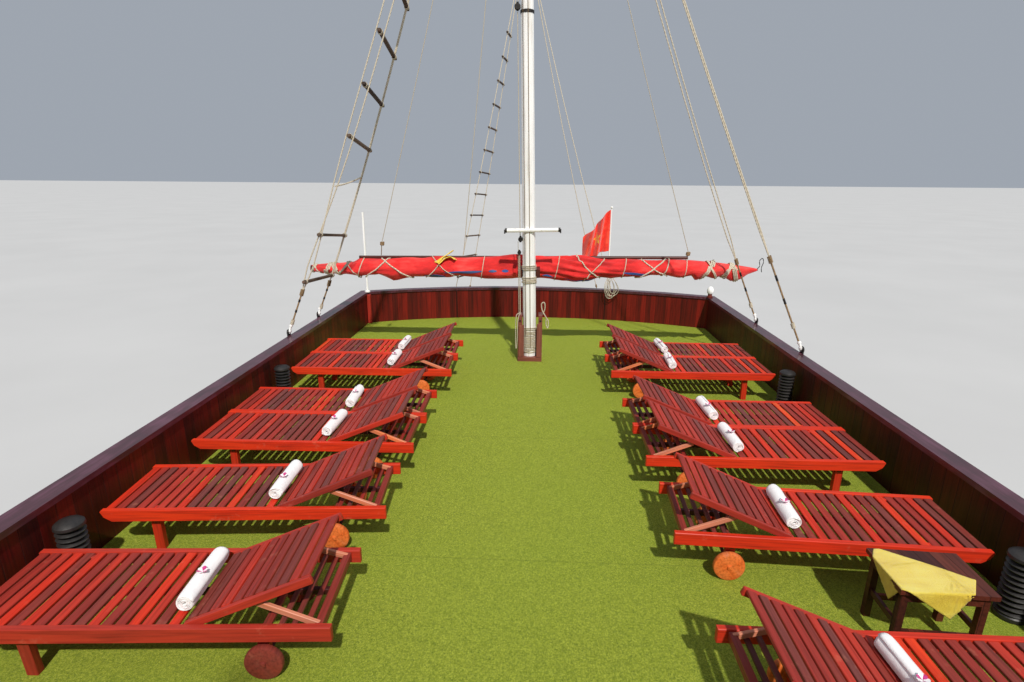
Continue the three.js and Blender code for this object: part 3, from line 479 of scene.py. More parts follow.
def circle(radius, sides):
    turns = [math.tau * k / sides for k in range(sides)]
    return [(radius * math.cos(turn), radius * math.sin(turn)) for turn in turns]


def unit(vectors):
    """Vectors one metre long."""
    return vectors / np.maximum(np.linalg.norm(vectors, axis=-1, keepdims=True), 1e-9)


def gone(path):
    """How far along a path each of its points is."""
    return np.concatenate([[0], np.cumsum(np.linalg.norm(np.diff(path, axis=0), axis=1))])


def quads(rows, size, closed=True, start=0):
    """Faces between rows of points. closed: each row is a ring, and the ends are capped."""
    last = start + (rows - 1) * size
    faces = [(a + k, a + (k + 1) % size, a + size + (k + 1) % size, a + size + k)
             for a in range(start, last, size) for k in range(size if closed else size - 1)]
    if closed:
        faces += [tuple(range(start + size - 1, start - 1, -1)), tuple(range(last, last + size))]
    return faces


def new_piece(name, points, faces, words, matrix=Matrix.Identity(4)):
    """A mesh object from plain points and faces. words: its finishes."""
    mesh = bpy.data.meshes.new(name)
    mesh.from_pydata(points, [], faces)
    mesh.transform(matrix)
    for word in words.split():
        mesh.materials.append(finishes[word])
    mesh.shade_smooth()
    piece = bpy.data.objects.new(name, mesh)
    bpy.context.scene.collection.objects.link(piece)
    return piece


def take_aboard(piece, body="ship"):
    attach(piece, body)


class Bench:
    """Small solids, joined as one mesh."""

    def __init__(self, seed=1, at=Matrix.Identity(4)):
        self.points, self.faces, self.grain, self.tones, self.finish_of = [], [], [], [], []
        self.count, self.finish, self.at = 0, 0, at
        self.chance = random.Random(seed)

    def rings(self, rings, grain, tone):
        """Joins rings of points that all have the same number, and caps the ends."""
        matrix = np.array(self.at)
        flat = np.asarray(rings, float).reshape(-1, 3) @ matrix[:3, :3].T + matrix[:3, 3]
        faces = quads(len(rings), len(rings[0]), start=self.count)
        self.points.append(flat)
        self.grain.append(np.asarray(grain, float).reshape(-1, 3))
        self.tones.append(np.full(len(flat), float(tone)))
        self.faces += faces
        self.finish_of += [self.finish] * len(faces)
        self.count += len(flat)

    def sweep(self, path, section, up=(0, 0, 1), tone=0.5, edge=0.0):
        """Runs a section along a path. edge: the chamfer of its two ends."""
        path, section = np.asarray(path, float), np.asarray(section, float)
        ahead, grow = unit(np.gradient(path, axis=0)), np.ones(len(path))
        if edge:
            first, last = path[0] + ahead[0] * edge, path[-1] - ahead[-1] * edge
            path = np.vstack([path[0], first, path[1:-1], last, path[-1]])
            ahead = np.vstack([ahead[0], ahead[0], ahead[1:-1], ahead[-1], ahead[-1]])
            shrink = 1 - edge / np.abs(section).max(0).min()
            grow = np.concatenate([[shrink], grow, [shrink]])
        across = unit(np.cross(ahead, np.asarray(up, float)))
        upward = np.cross(across, ahead)
        ring = (path[:, None, :] + grow[:, None, None] * (
            section[None, :, :1] * across[:, None, :] + section[None, :, 1:] * upward[:, None, :]))
        away = self.chance.random() * 40
        grain = np.zeros(ring.shape)
        grain[:, :, 0] = gone(path)[:, None] + away
        grain[:, :, 1] = section[None, :, 0] + away * 0.37
        grain[:, :, 2] = section[None, :, 1]
        self.rings(ring, grain, tone)

    def board(self, start, end, wide, thick, up=(0, 0, 1), tone=0.5, edge=0.003):
        """A straight board. wide lies across up, and thick along it."""
        self.sweep([start, end], plank_section(wide, thick, edge), up, tone, edge)

    def block(self, low, high, tone=0.5, edge=0.004):
        """A box between two corners, its grain along the longest side."""
        low, high = np.minimum(low, high), np.maximum(low, high)
        size, middle = high - low, (low + high) / 2
        along = int(np.argmax(size))
        start, end = middle.copy(), middle.copy()
        start[along], end[along] = low[along], high[along]
        up = (0, 1.0, 0) if along == Z else (0, 0, 1.0)
        wide, thick = size[Y if along == X else X], size[Y if along == Z else Z]
        self.board(start, end, wide, thick, up, tone, min(edge, size.min() * 0.3))

    def rod(self, path, radius, tone=0.5, sides=10):
        run = np.subtract(path[-1], path[0])
        up = (0, 0, 1) if abs(run[Z]) < 0.9 * np.linalg.norm(run) else (0, 1, 0)
        self.sweep(path, circle(radius, sides), up, tone)

    def rope(self, path, radius, tone=0.5, lay=5.0):
        """A rope: its grain counts turns of the lay along it, and turns round it."""
        sides = 8
        path = np.asarray([tuple(point) for point in path], float)
        ahead = unit(np.gradient(path, axis=0))
        side = np.cross(ahead[0], (0.31, 0.59, 0.74))
        rings = []
        for point, toward in zip(path, ahead):
            side = unit(side - toward * side.dot(toward))
            other = np.cross(toward, side)
            rings.append([point + a * side + b * other for a, b in circle(radius, sides)])
        grain = np.zeros((len(path), sides, 3))
        grain[:, :, 0] = (gone(path) / (radius * lay))[:, None]
        grain[:, :, 1] = 2 * np.abs((np.arange(sides) / sides - 0.5) * 2)[None, :]
        self.rings(rings, grain, tone)

    def turned(self, outline, foot, axis=(0, 0, 1), tone=0.5, sides=24):
        """A turned piece: outline is (radius, height) from foot to head."""
        turn = np.array(Vector(axis).to_track_quat("Z", "Y").to_matrix())
        rings = np.array([[(a, b, height) for a, b in circle(radius, sides)] for radius, height in outline])
        self.rings(rings @ turn.T + np.array(foot), rings[:, :, [2, 0, 1]], tone)

    def slab(self, outline, thick, origin, along, upward, tone=0.5, edge=0.004):
        """A flat piece sawn to an outline of (along, up), as thick as given."""
        outline, along, upward = (np.asarray(row, float) for row in (outline, along, upward))
        through = np.cross(along, upward)
        middle = (outline.min(0) + outline.max(0)) / 2
        inner = (outline - middle) * (1 - edge / (outline.max(0) - middle)) + middle
        rings, grain = [], []
        for shape, depth in ((inner, -thick / 2), (outline, edge - thick / 2),
                             (outline, thick / 2 - edge), (inner, thick / 2)):
            rings.append(np.asarray(origin) + shape[:, :1] * along + shape[:, 1:] * upward + depth * through)
            grain.append(np.column_stack([shape, np.full(len(shape), depth)]))
        self.rings(rings, grain, tone)

    def make(self, name, words="varnished_boards", slot="mahogany", body="ship"):
        """Joins everything on the bench as one piece, riding on a body."""
        piece = new_piece(name, np.vstack(self.points).tolist(), self.faces, words)
        mesh = piece.data
        for key, kind, field, values in (("grain", "FLOAT_VECTOR", "vector", np.vstack(self.grain)),
                                         ("tone", "FLOAT", "value", np.concatenate(self.tones))):
            mesh.attributes.new(key, kind, "POINT").data.foreach_set(field, values.ravel())
        mesh.polygons.foreach_set("material_index", self.finish_of)
        sculpt = bmesh.new()
        sculpt.from_mesh(mesh)
        bmesh.ops.recalc_face_normals(sculpt, faces=sculpt.faces)
        sculpt.to_mesh(mesh)
        sculpt.free()
        mesh.shade_smooth()
        mesh.set_sharp_from_angle(angle=math.radians(35))
        take_aboard(piece, body)
        print(f"{name}: {len(self.faces)} faces")
        return piece


def smooth_path(points, each=6):
    """Points on a smooth curve through the given ones."""
    points = [Vector(p) for p in points]
    ends = [points[0] * 2 - points[1], *points, points[-1] * 2 - points[-2]]
    path = []
    for a, b, c, d in zip(ends, ends[1:], ends[2:], ends[3:]):
        for t in (i / each for i in range(each)):
            path.append(tuple(0.5 * (2 * b + (c - a) * t + (2 * a - 5 * b + 4 * c - d) * t ** 2
                                     + (3 * b - a - 3 * c + d) * t ** 3)))
    return [*path, tuple(points[-1])]


print("bench ready")

# %% [markdown]
# A lounger is a hardwood frame on two legs and two wheels. Its seat is a run of slats
# let in between two side rails, and the back is a second slatted frame that hinges up and
# rests on two struts of paler wood. The rails run past the last crossbar as handles. The
# table gives each stand of loungers its place, turn and count, as on the deck.

# %% Measures of a lounger
LOUNGER = {"long": 2.0, "wide": 0.674, "top": 0.370, "rail_deep": 0.090, "rail_thick": 0.038,
           "hinge": 0.22, "tip_x": 0.905, "tip_z": 0.660, "wheel": 0.106, "wheel_x": 0.61}
TURF_TOP = 3.1003
# A stand: its node, its side of the deck, x, y, its turn in degrees and how many loungers
STANDS = [
    ("lounger_L1", -1, -2.054, -4.567, 3.5, 1), ("lounger_L2", -1, -2.061, -3.463, 4.2, 1),
    ("loungers_L3_L4", -1, -2.067, -2.060, 0.9, 2), ("loungers_L5_L6", -1, -2.031, -0.026, 1.0, 2),
    ("lounger_R1", 1, 1.990, -5.045, 0.0, 1), ("lounger_R2", 1, 1.977, -3.623, -2.8, 1),
    ("loungers_R3_R4", 1, 1.966, -2.155, 0.45, 2), ("loungers_R5_R6", 1, 1.953, 0.077, 0.25, 2),
]


def stand_matrix(side, x, y, turn):
    heading = math.radians(turn + (180 if side > 0 else 0))
    return Matrix.Translation((x, y, TURF_TOP)) @ Matrix.Rotation(heading, 4, "Z")


def offsets(count):
    """How far to the side of the stand's middle each of its loungers is."""
    return [0] if count == 1 else [-LOUNGER["wide"] / 2, LOUNGER["wide"] / 2]


print(len(STANDS), "stands of loungers")

# %% One lounger on the bench
SEAT_SLATS, BACK_SLATS, SLAT_THICK, SLAT_SHARE = 17, 11, 0.018, 0.76
FRONT_LEG_X = 0.35 - LOUNGER["long"] / 2
# A leg: x, how far under the rail's top it starts, its foot's height, and how far inside
# the rail its head and its foot are
LEGS = [(FRONT_LEG_X, 0.010, 0.0, 0.040, 0.078), (LOUNGER["wheel_x"], 0.088, 0.055, 0.080, 0.080)]
TREAD = LOUNGER["wheel"]
WHEEL = [(0.86 * TREAD, -0.022), (0.97 * TREAD, -0.017), (TREAD, -0.008), (TREAD, 0.008),
         (0.97 * TREAD, 0.017), (0.86 * TREAD, 0.022), (0.22 * TREAD, 0.020), (0.016, 0.020),
         (0.015, 0.028), (0.004, 0.030)]
WHEEL_TONES = {"lounger_L1": 0.70}
RAIL_TONES = {"lounger_L1": 0.36, "lounger_R1": 0.24}


def lounger(bench, offset, wheel_tone, rail_tone):
    m = LOUNGER
    half, edge, top, deep = m["long"] / 2, m["wide"] / 2, m["top"], m["top"] - m["rail_deep"]
    rail_y, inside = edge - m["rail_thick"] / 2, edge - m["rail_thick"]

    def draw(low, high):
        return low + (high - low) * bench.chance.random()

    def cross(x, drop, wide, thick, tone):
        """A board from rail to rail."""
        start, end = ((x, offset + side * inside, top - drop) for side in (-1, 1))
        bench.board(start, end, wide, thick, tone=tone)

    rail = [(-half, top - 0.012), (-half + 0.01, top), (half, top), (half, deep), (-half + 0.07, deep),
            (-half + 0.02, top - m["rail_deep"] * 0.62)]
    for side in (-1, 1):
        bench.slab(rail, m["rail_thick"], (0, offset + side * rail_y, 0), (1, 0, 0), (0, 0, 1),
                   tone=rail_tone + draw(0, 0.07))
        for x, drop, foot_z, at_top, at_foot in LEGS:
            bench.board((x, offset + side * (rail_y - at_top), top - drop),
                        (x - 0.02, offset + side * (rail_y - at_foot), foot_z),
                        0.046, 0.064, (1, 0, 0), rail_tone + 0.10)
    pitch = (m["hinge"] + half - 0.03) / SEAT_SLATS
    for k in range(SEAT_SLATS):
        cross(-half + 0.012 + pitch * (k + 0.5), 0.014, pitch * SLAT_SHARE, SLAT_THICK, draw(0.14, 0.84))
    bench.board((-half + 0.05, offset, top - 0.046), (half - 0.10, offset, top - 0.046), 0.03, 0.04,
                tone=0.95)
    for k in range(4):
        cross(0.655 + 0.068 * k, 0.030, 0.030, 0.020, draw(0.5, 0.9))
    cross(0.925, 0.034, 0.042, 0.052, 0.62)
    for x in (FRONT_LEG_X, m["wheel_x"]):
        cross(x, 0.10, 0.03, 0.05, 0.7)

    hinge = np.array((m["hinge"], offset, top - 0.010))
    back = np.array((m["tip_x"], offset, m["tip_z"] - 0.014)) - hinge
    lift = np.array((-back[Z], 0, back[X])) / np.linalg.norm(back)
    back_y = inside - 0.016
    reach = np.array((0, back_y - 0.014, 0))
    for side in (-1, 1):
        foot = hinge + (0, side * back_y, 0) - lift * 0.016
        bench.board(foot, foot + back, 0.028, 0.044, lift, draw(0.30, 0.60))
    for k in range(BACK_SLATS):
        at = hinge + back * (k + 0.5) / BACK_SLATS
        bench.board(at - reach, at + reach, np.linalg.norm(back) / BACK_SLATS * SLAT_SHARE, SLAT_THICK, lift,
                    draw(0.34, 0.8))
    for share in (0.35, 0.72):
        at = hinge + back * share - lift * 0.026
        bench.board(at - reach, at + reach, 0.035, 0.022, lift, 0.85)
    for side in (-1, 1):
        strut = hinge + back * 0.52 - lift * 0.045 + (0, side * (back_y - 0.028), 0)
        rest = (half - 0.060, offset + side * (inside - 0.018), top - 0.030)
        bench.board(strut, rest, 0.022, 0.034, tone=0.0)
        hub = (m["wheel_x"], offset + side * (edge - 0.049), TREAD)
        bench.turned(WHEEL, hub, (0, side, 0), wheel_tone, 28)
    bench.rod([(m["wheel_x"], offset + side * (edge - 0.08), TREAD) for side in (-1, 1)], 0.012, 0.95)


for name, side, x, y, turn, count in STANDS:
    bench = Bench(sum(map(ord, name)), stand_matrix(side, x, y, turn))
    for offset in offsets(count):
        lounger(bench, offset, WHEEL_TONES.get(name, 0.06), RAIL_TONES.get(name, 0.18))
    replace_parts(bench.make(name + "_timber"), name)

# %% [markdown]
# On each lounger lies a white bath towel, rolled up tight. It is one long strip of cloth
# wound in a spiral with a little air between its turns, so the ends show the spiral that
# the photograph shows. A tiny orchid lies on top.

# %% Measures of a towel
TOWEL = {"long": 0.43, "radius": 0.052, "core": 0.008, "cloth": 0.0060, "turns": 5.0}
STEPS_A_TURN, COLUMNS = 18, 26
SPIRAL_STEPS = int(TOWEL["turns"] * STEPS_A_TURN)
# The spiral's points, as (angle, radius), from the core out
SPIRAL = [(math.tau * i / STEPS_A_TURN,
           TOWEL["core"] + (TOWEL["radius"] - TOWEL["core"]) * (i / SPIRAL_STEPS) ** 0.92)
          for i in range(SPIRAL_STEPS + 1)]


def rolled_towel(name, matrix, seed):
    shift = random.Random(seed).uniform(0, 6.28)
    points = []
    for c in range(COLUMNS + 1):
        along = TOWEL["long"] * (c / COLUMNS - 0.5)
        pinch = 1.0 - 0.10 * math.exp(-26 * min(c, COLUMNS - c) / COLUMNS)
        for angle, radius in SPIRAL:
            wave = noise.noise(Vector((along * 9, angle * 0.6, seed)))
            r, turn = radius * (pinch + 0.045 * wave), angle + shift
            flat = 0.90 if math.sin(turn) < 0 else 1.0
            points.append((along + 0.0005 * wave * angle, r * math.cos(turn), r * math.sin(turn) * flat))
    roll = new_piece(name, points, quads(COLUMNS + 1, len(SPIRAL), closed=False), "towel_white", matrix)
    thick = roll.modifiers.new("cloth", "SOLIDIFY")
    thick.thickness = TOWEL["cloth"]
    thick.offset = 0
    return roll


def spiral_length():
    return float(gone(np.array([(r * math.cos(a), r * math.sin(a)) for a, r in SPIRAL]))[-1])


print("towel unrolls to", round(spiral_length(), 2), "m")

# %% Towels and orchids on the loungers
TOWEL_X = 0.205
# A petal: a share of its length, and how wide it is there
PETAL = [(0.0, 0.15), (0.3, 0.75), (0.65, 1.0), (0.9, 0.6), (1.0, 0.12)]


def orchid(bench, matrix, seed):
    """Five broad petals and a lip, each a small cupped leaf."""
    chance = random.Random(seed)
    for k in range(6):
        spread = k * math.tau / 6 + chance.uniform(-0.25, 0.25)
        size = chance.uniform(0.018, 0.026)
        bench.at = matrix @ Matrix.Rotation(spread, 4, "Z") @ Matrix.Rotation(-0.35, 4, "Y")
        bench.finish = k % 2
        rings = []
        for share, wide in PETAL:
            x, w, cup = size * share * 1.5, size * wide * 0.6, 0.004 * share
            rings.append([(x, w, cup), (x, w / 2, 0.002), (x, -w / 2, 0.002), (x, -w, cup),
                          (x, -w / 2, 0.0005), (x, w / 2, 0.0005)])
        bench.rings(rings, np.zeros((len(rings), 6, 3)), 0.5)


flowers = Bench(7)
for name, side, x, y, turn, count in STANDS:
    for k, offset in enumerate(offsets(count)):
        seed = len(flowers.points) + k * 3 + 11
        chance = random.Random(seed * 5 + 2)
        lie = stand_matrix(side, x, y, turn) @ Matrix.Translation(
            (TOWEL_X + chance.uniform(-0.02, 0.02), offset, LOUNGER["top"] + TOWEL["radius"] * 0.93))
        lie = lie @ Matrix.Rotation(math.pi / 2 + chance.uniform(-0.06, 0.06), 4, "Z")
        roll = rolled_towel("towel_" + name.split("_")[1 + k], lie, seed)
        take_aboard(roll)
        lift = (chance.uniform(0.02, 0.07) * side, -0.01, TOWEL["radius"] + 0.004)
        orchid(flowers, lie @ Matrix.Translation(lift), seed)
flowers.make("orchids", "orchid_pink towel_white", slot="flag_cloth")

# %% [markdown]
# The sails are junk canvas, lowered and bundled along their booms. The cloth hangs in
# shallow pockets between lashings, is drawn flat along the yard on top, and its folds run
# slantwise. One formula gives any point of a bundle from its place along the boom and its
# angle round it, so that ropes and coloured strips can lie on the cloth exactly.

# %% Measures of the furled sails
LEAN = math.radians(1.3)
BOOM_TURN = math.radians(-0.6)
MAIN_FOOT = (-0.07, 1.0, 3.163)
MAIN_BOOM = Vector((-0.07 - math.tan(LEAN) * 1.25, 1.43, 4.41))
FORE_AND_AFT = Matrix.Rotation(-math.pi / 2, 4, "Z")
# How far the main bundle hangs below its boom, and stands above it, along the boom
HANG = [
    (-3.43, 0.045), (-3.1, 0.085), (-2.86, 0.08), (-2.63, 0.13), (-2.36, 0.09), (-2.13, 0.185), (-1.8, 0.12),
    (-1.53, 0.14), (-1.1, 0.105), (-0.7, 0.165), (-0.16, 0.13), (0.23, 0.145), (0.72, 0.19), (0.98, 0.135),
    (1.46, 0.11), (1.68, 0.125), (1.84, 0.095), (2.11, 0.095), (2.28, 0.12), (2.47, 0.10), (2.53, 0.175),
    (2.65, 0.10), (2.8, 0.14), (2.92, 0.10), (3.07, 0.18), (3.21, 0.15), (3.31, 0.07), (3.46, 0.015),
]
STAND = [
    (-3.43, 0.050), (-3.1, 0.080), (-2.74, 0.10), (-2.64, 0.155), (-2.4, 0.165), (-1.42, 0.19), (-0.77, 0.20),
    (-0.21, 0.215), (0.23, 0.21), (0.83, 0.185), (1.1, 0.16), (2.45, 0.145), (2.89, 0.115), (3.34, 0.04),
    (3.46, 0.015),
]
SAILS = {
    "main": {"at": Matrix.Translation(MAIN_BOOM) @ Matrix.Rotation(BOOM_TURN, 4, "Y"), "start": -3.43,
             "end": 3.46, "deep": 0.285, "high": 0.33, "seed": 3.0, "outline": (STAND, HANG),
             "ties": [-2.98, -2.62, -2.05, -1.45, -0.72, -0.12, 0.42, 0.94, 1.44, 1.92, 2.36, 2.72, 3.04]},
    "fore": {"at": Matrix.Translation((0.2273, 9.3, 2.38)) @ FORE_AND_AFT, "start": -0.52, "end": 3.58,
             "deep": 0.265, "high": 0.305, "seed": 8.0, "ties": [-0.25, 0.45, 1.05, 1.7, 2.3, 2.85, 3.3]},
    "mizzen": {"at": Matrix.Translation((0.43, -11.4, 6.35)) @ FORE_AND_AFT, "start": -0.72, "end": 3.33,
               "deep": 0.265, "high": 0.305, "seed": 13.0, "ties": [-0.4, 0.2, 0.85, 1.4, 2.0, 2.5, 3.0]},
}
AROUND = 56


def bundle_point(sail, x, angle, proud=0.0):
    """A point of the bundle. angle 0 faces forward or abeam, and a quarter turn is up."""
    s, out, up = sail["seed"], math.cos(angle), math.sin(angle)
    share = (x - sail["start"]) / (sail["end"] - sail["start"])
    tip = min(1.0, (max(share, 0.0) / 0.04) ** 0.5, (max(1 - share, 0.0) / 0.10) ** 0.7)
    away = min(abs(x - tie) for tie in sail["ties"])
    pinch = math.exp(-(away / 0.045) ** 2)
    pocket = min(1.0, away / 0.30) ** 0.7
    swell = 0.90 + 0.16 * noise.noise(Vector((x * 1.3, s, 0.0))) + 0.10 * pocket - 0.16 * pinch
    slant = 7.0 * x + 1.4 * math.sin(2.1 * x + s) + 2.2 * angle
    fold = 0.080 * math.sin(slant + 3.0 * noise.noise(Vector((x * 1.1, angle * 0.7, s))))
    fold += 0.110 * noise.noise(Vector((x * 2.6 + angle * 0.9, out * 1.6, up * 1.6 + s)))
    fold += 0.030 * noise.noise(Vector((x * 9.0 + angle * 2.0, out * 3.5, up * 3.5 + s)))
    fold += 0.150 * math.exp(-((x - 0.7) / 0.6) ** 2) * math.sin(11.0 * (angle - 0.9 * x))
    reach = tip * (swell + fold * (0.35 + 0.65 * pocket)) + proud / 0.16
    y = out * sail["deep"] / 2 * reach * (1.0 - 0.18 * max(0.0, up))
    if "outline" in sail:
        high = float(np.interp(x, *np.transpose(sail["outline"][0 if up > 0 else 1])))
        ragged = 0.016 * noise.noise(Vector((x * 6.0, s, 4.0))) if up < 0 else 0.0
        return x, y, up * (high * (0.97 + 0.8 * fold * tip) + ragged * tip + proud)
    sag = 1.0 + (0.20 * pocket if up < 0 else -0.05 * up)
    return x, y, up * sail["high"] / 2 * reach * sag


for name, sail in SAILS.items():
    columns = int((sail["end"] - sail["start"]) / 0.026)
    points = [bundle_point(sail, x, math.tau * k / AROUND)
              for x in np.linspace(sail["start"], sail["end"], columns + 1) for k in range(AROUND)]
    piece = new_piece(name + "_bundle", points, quads(columns + 1, AROUND), "red_canvas", sail["at"])
    take_aboard(piece, name + "_sail")
    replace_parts(piece, name + "_sail")
    print(name, len(piece.data.polygons), "faces")

# %% [markdown]
# Lashings hold each bundle. A turn of rope follows the cloth at its own height above it,
# leans a little, and some cross as the real ones do. Near the main sail's ends the turns
# crowd together. Thin blue strips are the edges of reinforcing tapes, caught in the folds.

# %% Lashings and tapes
def lashing(bench, sail, x, slant, radius, turns, start):
    path = []
    for t in np.linspace(0, 1, int(40 * turns) + 1):
        angle = start + math.tau * turns * t
        path.append(bundle_point(sail, x + slant * math.sin(angle) + 0.035 * (turns - 1) * t, angle, radius))
    bench.rope(path, radius)


def tape(bench, sail, first, last, angle, wide, drift):
    steps = max(4, int(abs(last - first) / 0.02))
    rings = []
    for t in np.linspace(0, 1, steps + 1):
        x, here = first + (last - first) * t, angle + drift * t
        half = wide * (0.35 + 0.65 * math.sin(math.pi * t)) / 0.18
        row = [here + half * (k - 1.5) / 1.5 for k in range(4)]
        rings.append([bundle_point(sail, x, turn, 0.004) for turn in row]
                     + [bundle_point(sail, x, turn, -0.006) for turn in reversed(row)])
    bench.rings(rings, np.zeros((len(rings), 8, 3)), 0.5)


# A lashing: its place along the boom, its slant, the rope's radius and its turns
MAIN_LASHINGS = [
    (-3.38, 0.03, 0.009, 2), (-3.30, -0.06, 0.008, 1), (-3.16, 0.02, 0.010, 3), (-3.04, -0.05, 0.010, 3),
    (-2.90, 0.08, 0.010, 2), (-2.74, -0.10, 0.008, 1), (-2.62, 0.05, 0.008, 1), (-2.36, 0.20, 0.010, 1),
    (-2.05, -0.24, 0.011, 1), (-1.45, 0.16, 0.008, 1), (-1.30, -0.20, 0.007, 1), (-0.72, 0.03, 0.007, 1),
    (0.42, 0.04, 0.007, 1), (0.90, -0.18, 0.010, 1), (0.98, 0.16, 0.008, 1), (1.44, 0.03, 0.007, 1),
    (1.84, 0.22, 0.011, 1), (1.90, -0.20, 0.010, 1), (2.06, 0.05, 0.009, 1), (2.36, 0.02, 0.007, 1),
    (2.66, 0.07, 0.011, 3), (2.74, -0.08, 0.010, 2), (2.96, 0.06, 0.011, 3), (3.06, -0.05, 0.010, 3),
]
# A tape: its two ends along the boom, its angle past straight aft, its width and its drift
MAIN_TAPES = [
    (-1.62, -1.30, 0.75, 0.045, 0.35), (-1.30, -0.72, 0.35, 0.030, -0.20), (-0.62, -0.50, 0.12, 0.026, 0.0),
    (-0.42, -0.32, 0.10, 0.030, 0.0), (0.06, 0.14, 0.10, 0.045, 0.3), (0.20, 0.36, 0.62, 0.040, 0.2),
    (0.50, 1.00, 1.05, 0.026, 0.25), (1.42, 1.80, 0.40, 0.026, 0.1),
]
MAIN_RAGS = [
    ([(-1.43, -0.11, 0.11), (-1.36, -0.05, 0.17), (-1.27, -0.02, 0.22), (-1.17, 0.0, 0.285)], 0.10),
    ([(-1.40, -0.12, 0.09), (-1.30, -0.08, 0.165), (-1.20, -0.07, 0.19), (-1.12, -0.10, 0.15)], 0.13),
]
main = SAILS["main"]
bench = Bench(21, main["at"])
for x, *turn in MAIN_LASHINGS:
    lashing(bench, main, x, *turn, start=x)
bench.make("main_lashings", "pale_rope", "rope", "main_sail")

bench = Bench(22, main["at"])
for first, last, angle, wide, drift in MAIN_TAPES:
    tape(bench, main, first, last, math.pi + angle, wide, drift)
bench.finish = 1
for rag, wide in MAIN_RAGS:
    bench.sweep(smooth_path(rag), plank_section(wide, 0.010, 0.002), (0.3, 0.2, 1), 0.5, 0.002)
bench.make("main_tapes", "blue_canvas yellow_cotton", "sail_cloth", "main_sail")

for name in ("fore", "mizzen"):
    bench = Bench(30 + len(name), SAILS[name]["at"])
    for i, x in enumerate(SAILS[name]["ties"]):
        lashing(bench, SAILS[name], x, 0.06 * (-1) ** i, 0.009, 2, start=i)
    bench.make(name + "_lashings", "pale_rope", "rope", name + "_sail")

# %% [markdown]
# The standing rigging is replaced rope for rope. Each stay keeps the two ends of its CAD
# solid, but is round and laid, and sags a little. The main stays are one rope doubled: its
# two parts cross on the way down and meet at a knot, and a thicker brown rope goes on to a
# white thimble on the iron plate. The ladders have wooden rungs, lashed at both ends. The
# feet of the fore stays follow the hull, so its sections are written down here first.

# %% Measures of the hull
HULL_WORDS = ("y", "rail", "bilge", "keel", "deck", "top")
HULL = np.array([
    (-15.0, 2.80, 2.10, 0.25, 0.95, 2.05), (-13.0, 3.08, 2.55, -0.18, 0.85, 1.78),
    (-10.5, 3.30, 2.95, -0.72, 0.85, 1.60), (-7.0, 3.42, 3.20, -1.05, 0.85, 1.50),
    (-2.0, 3.45, 3.30, -1.20, 0.85, 1.45), (3.0, 3.44, 3.22, -1.18, 0.85, 1.47),
    (5.4, 3.28, 2.80, -1.03, 0.95, 1.60), (7.4, 2.92, 2.18, -0.77, 1.12, 1.77),
    (9.15, 2.42, 1.50, -0.35, 1.29, 1.95), (10.3, 1.95, 1.00, 0.33, 1.45, 2.12),
    (11.2, 1.48, 0.85, 1.15, 1.60, 2.28),
])


def hull(y, word):
    return float(np.interp(y, HULL[:, 0], HULL[:, HULL_WORDS.index(word)]))


def hull_half(y, z):
    """Half the hull's breadth at a height, on the section that the CAD hull has."""
    keel, top = hull(y, "keel"), hull(y, "top")
    knuckle = (keel + top) / 2
    turns = [k / 5 * math.pi / 2 for k in range(6)]
    heights = [keel + (knuckle - keel) * (1 - math.cos(turn)) for turn in turns] + [top]
    halves = [hull(y, "bilge") * math.sin(turn) ** 0.8 for turn in turns] + [hull(y, "rail")]
    return float(np.interp(z, heights, halves))


print("hull", round(2 * hull(-2.0, "rail"), 2), "m wide")

# %% Measures of the stays
MAIN_HEAD = Vector((-0.07 - math.tan(LEAN) * (12.55 - 3.16), 1.0, 12.55))
FORE_HEAD = Vector((-0.18 - math.tan(LEAN) * (11.3 - 1.38), 9.3, 11.3))
PLATE_X, PLATE_Z = 3.3153, 3.715


def fore_foot(side, y):
    return (side * (hull(y, "rail") + 0.036), y, hull(y, "top") + 0.02, 0.25, 0.45)


# A foot: x, y, z, how far the stay sags, and how high over the foot its knot is. On the
# main mast follow how far the two parts of the rope lie apart, and where they cross.
STAYS = {
    "main": {"head": MAIN_HEAD, "collar": 0.078, "plate": 0.29,
             "feet": [(-PLATE_X, -0.03, PLATE_Z, 0.27, 0.55, 0.060, 0.19),
                      (-PLATE_X, 1.03, PLATE_Z, 0.50, 0.50, 0.007, 0),
                      (PLATE_X, 1.12, PLATE_Z, 0.29, 0.89, 0.028, 0),
                      (PLATE_X, -0.39, PLATE_Z, 0.14, 1.10, 0.010, 0)],
             "rungs": [(4.405 + 0.614 * i, 0.07 + 0.02 * i) for i in range(11)], "extra": []},
    "fore": {"head": FORE_HEAD, "collar": 0.076, "plate": 0.29,
             "feet": [fore_foot(-1, 8.945), fore_foot(-1, 9.96), fore_foot(1, 10.24), fore_foot(1, 9.18)],
             "rungs": [(3.0 + 0.588 * i, 0.04) for i in range(12)],
             "extra": [(0, 10.95, hull(11.1, "top") - 0.06, 0.10, 0.45)]},
    "mizzen": {"head": Vector((0, -11.4, 10.3)), "collar": 0.070, "plate": 0.0597, "rungs": [], "extra": [],
               "feet": [(side * 3.08, y, 4.16, 0.12, 0.45)
                        for side, y in ((-1, -10.9), (-1, -11.9), (1, -11.9), (1, -10.9))]},
}
ROPE_RUNG = 2
STEPS_ROUND = 16


def stay_start(stay, foot):
    head = stay["head"]
    away = Vector((foot[X] - head.x, foot[Y] - head.y, 0)).normalized()
    return head + away * (stay["collar"] + 0.02)


def stay_point(stay, foot, share):
    """A point of a sagging stay, a share of the way from its foot to the head."""
    sag = foot[3] * 4 * share * (1 - share)
    return Vector(foot[:3]).lerp(stay_start(stay, foot), share) - Vector((0, 0, sag))


def share_at(stay, foot, z):
    span = stay["head"].z - foot[Z]
    share = (z - foot[Z]) / span
    for _ in range(4):
        share += (z - stay_point(stay, foot, share).z) / span
    return share


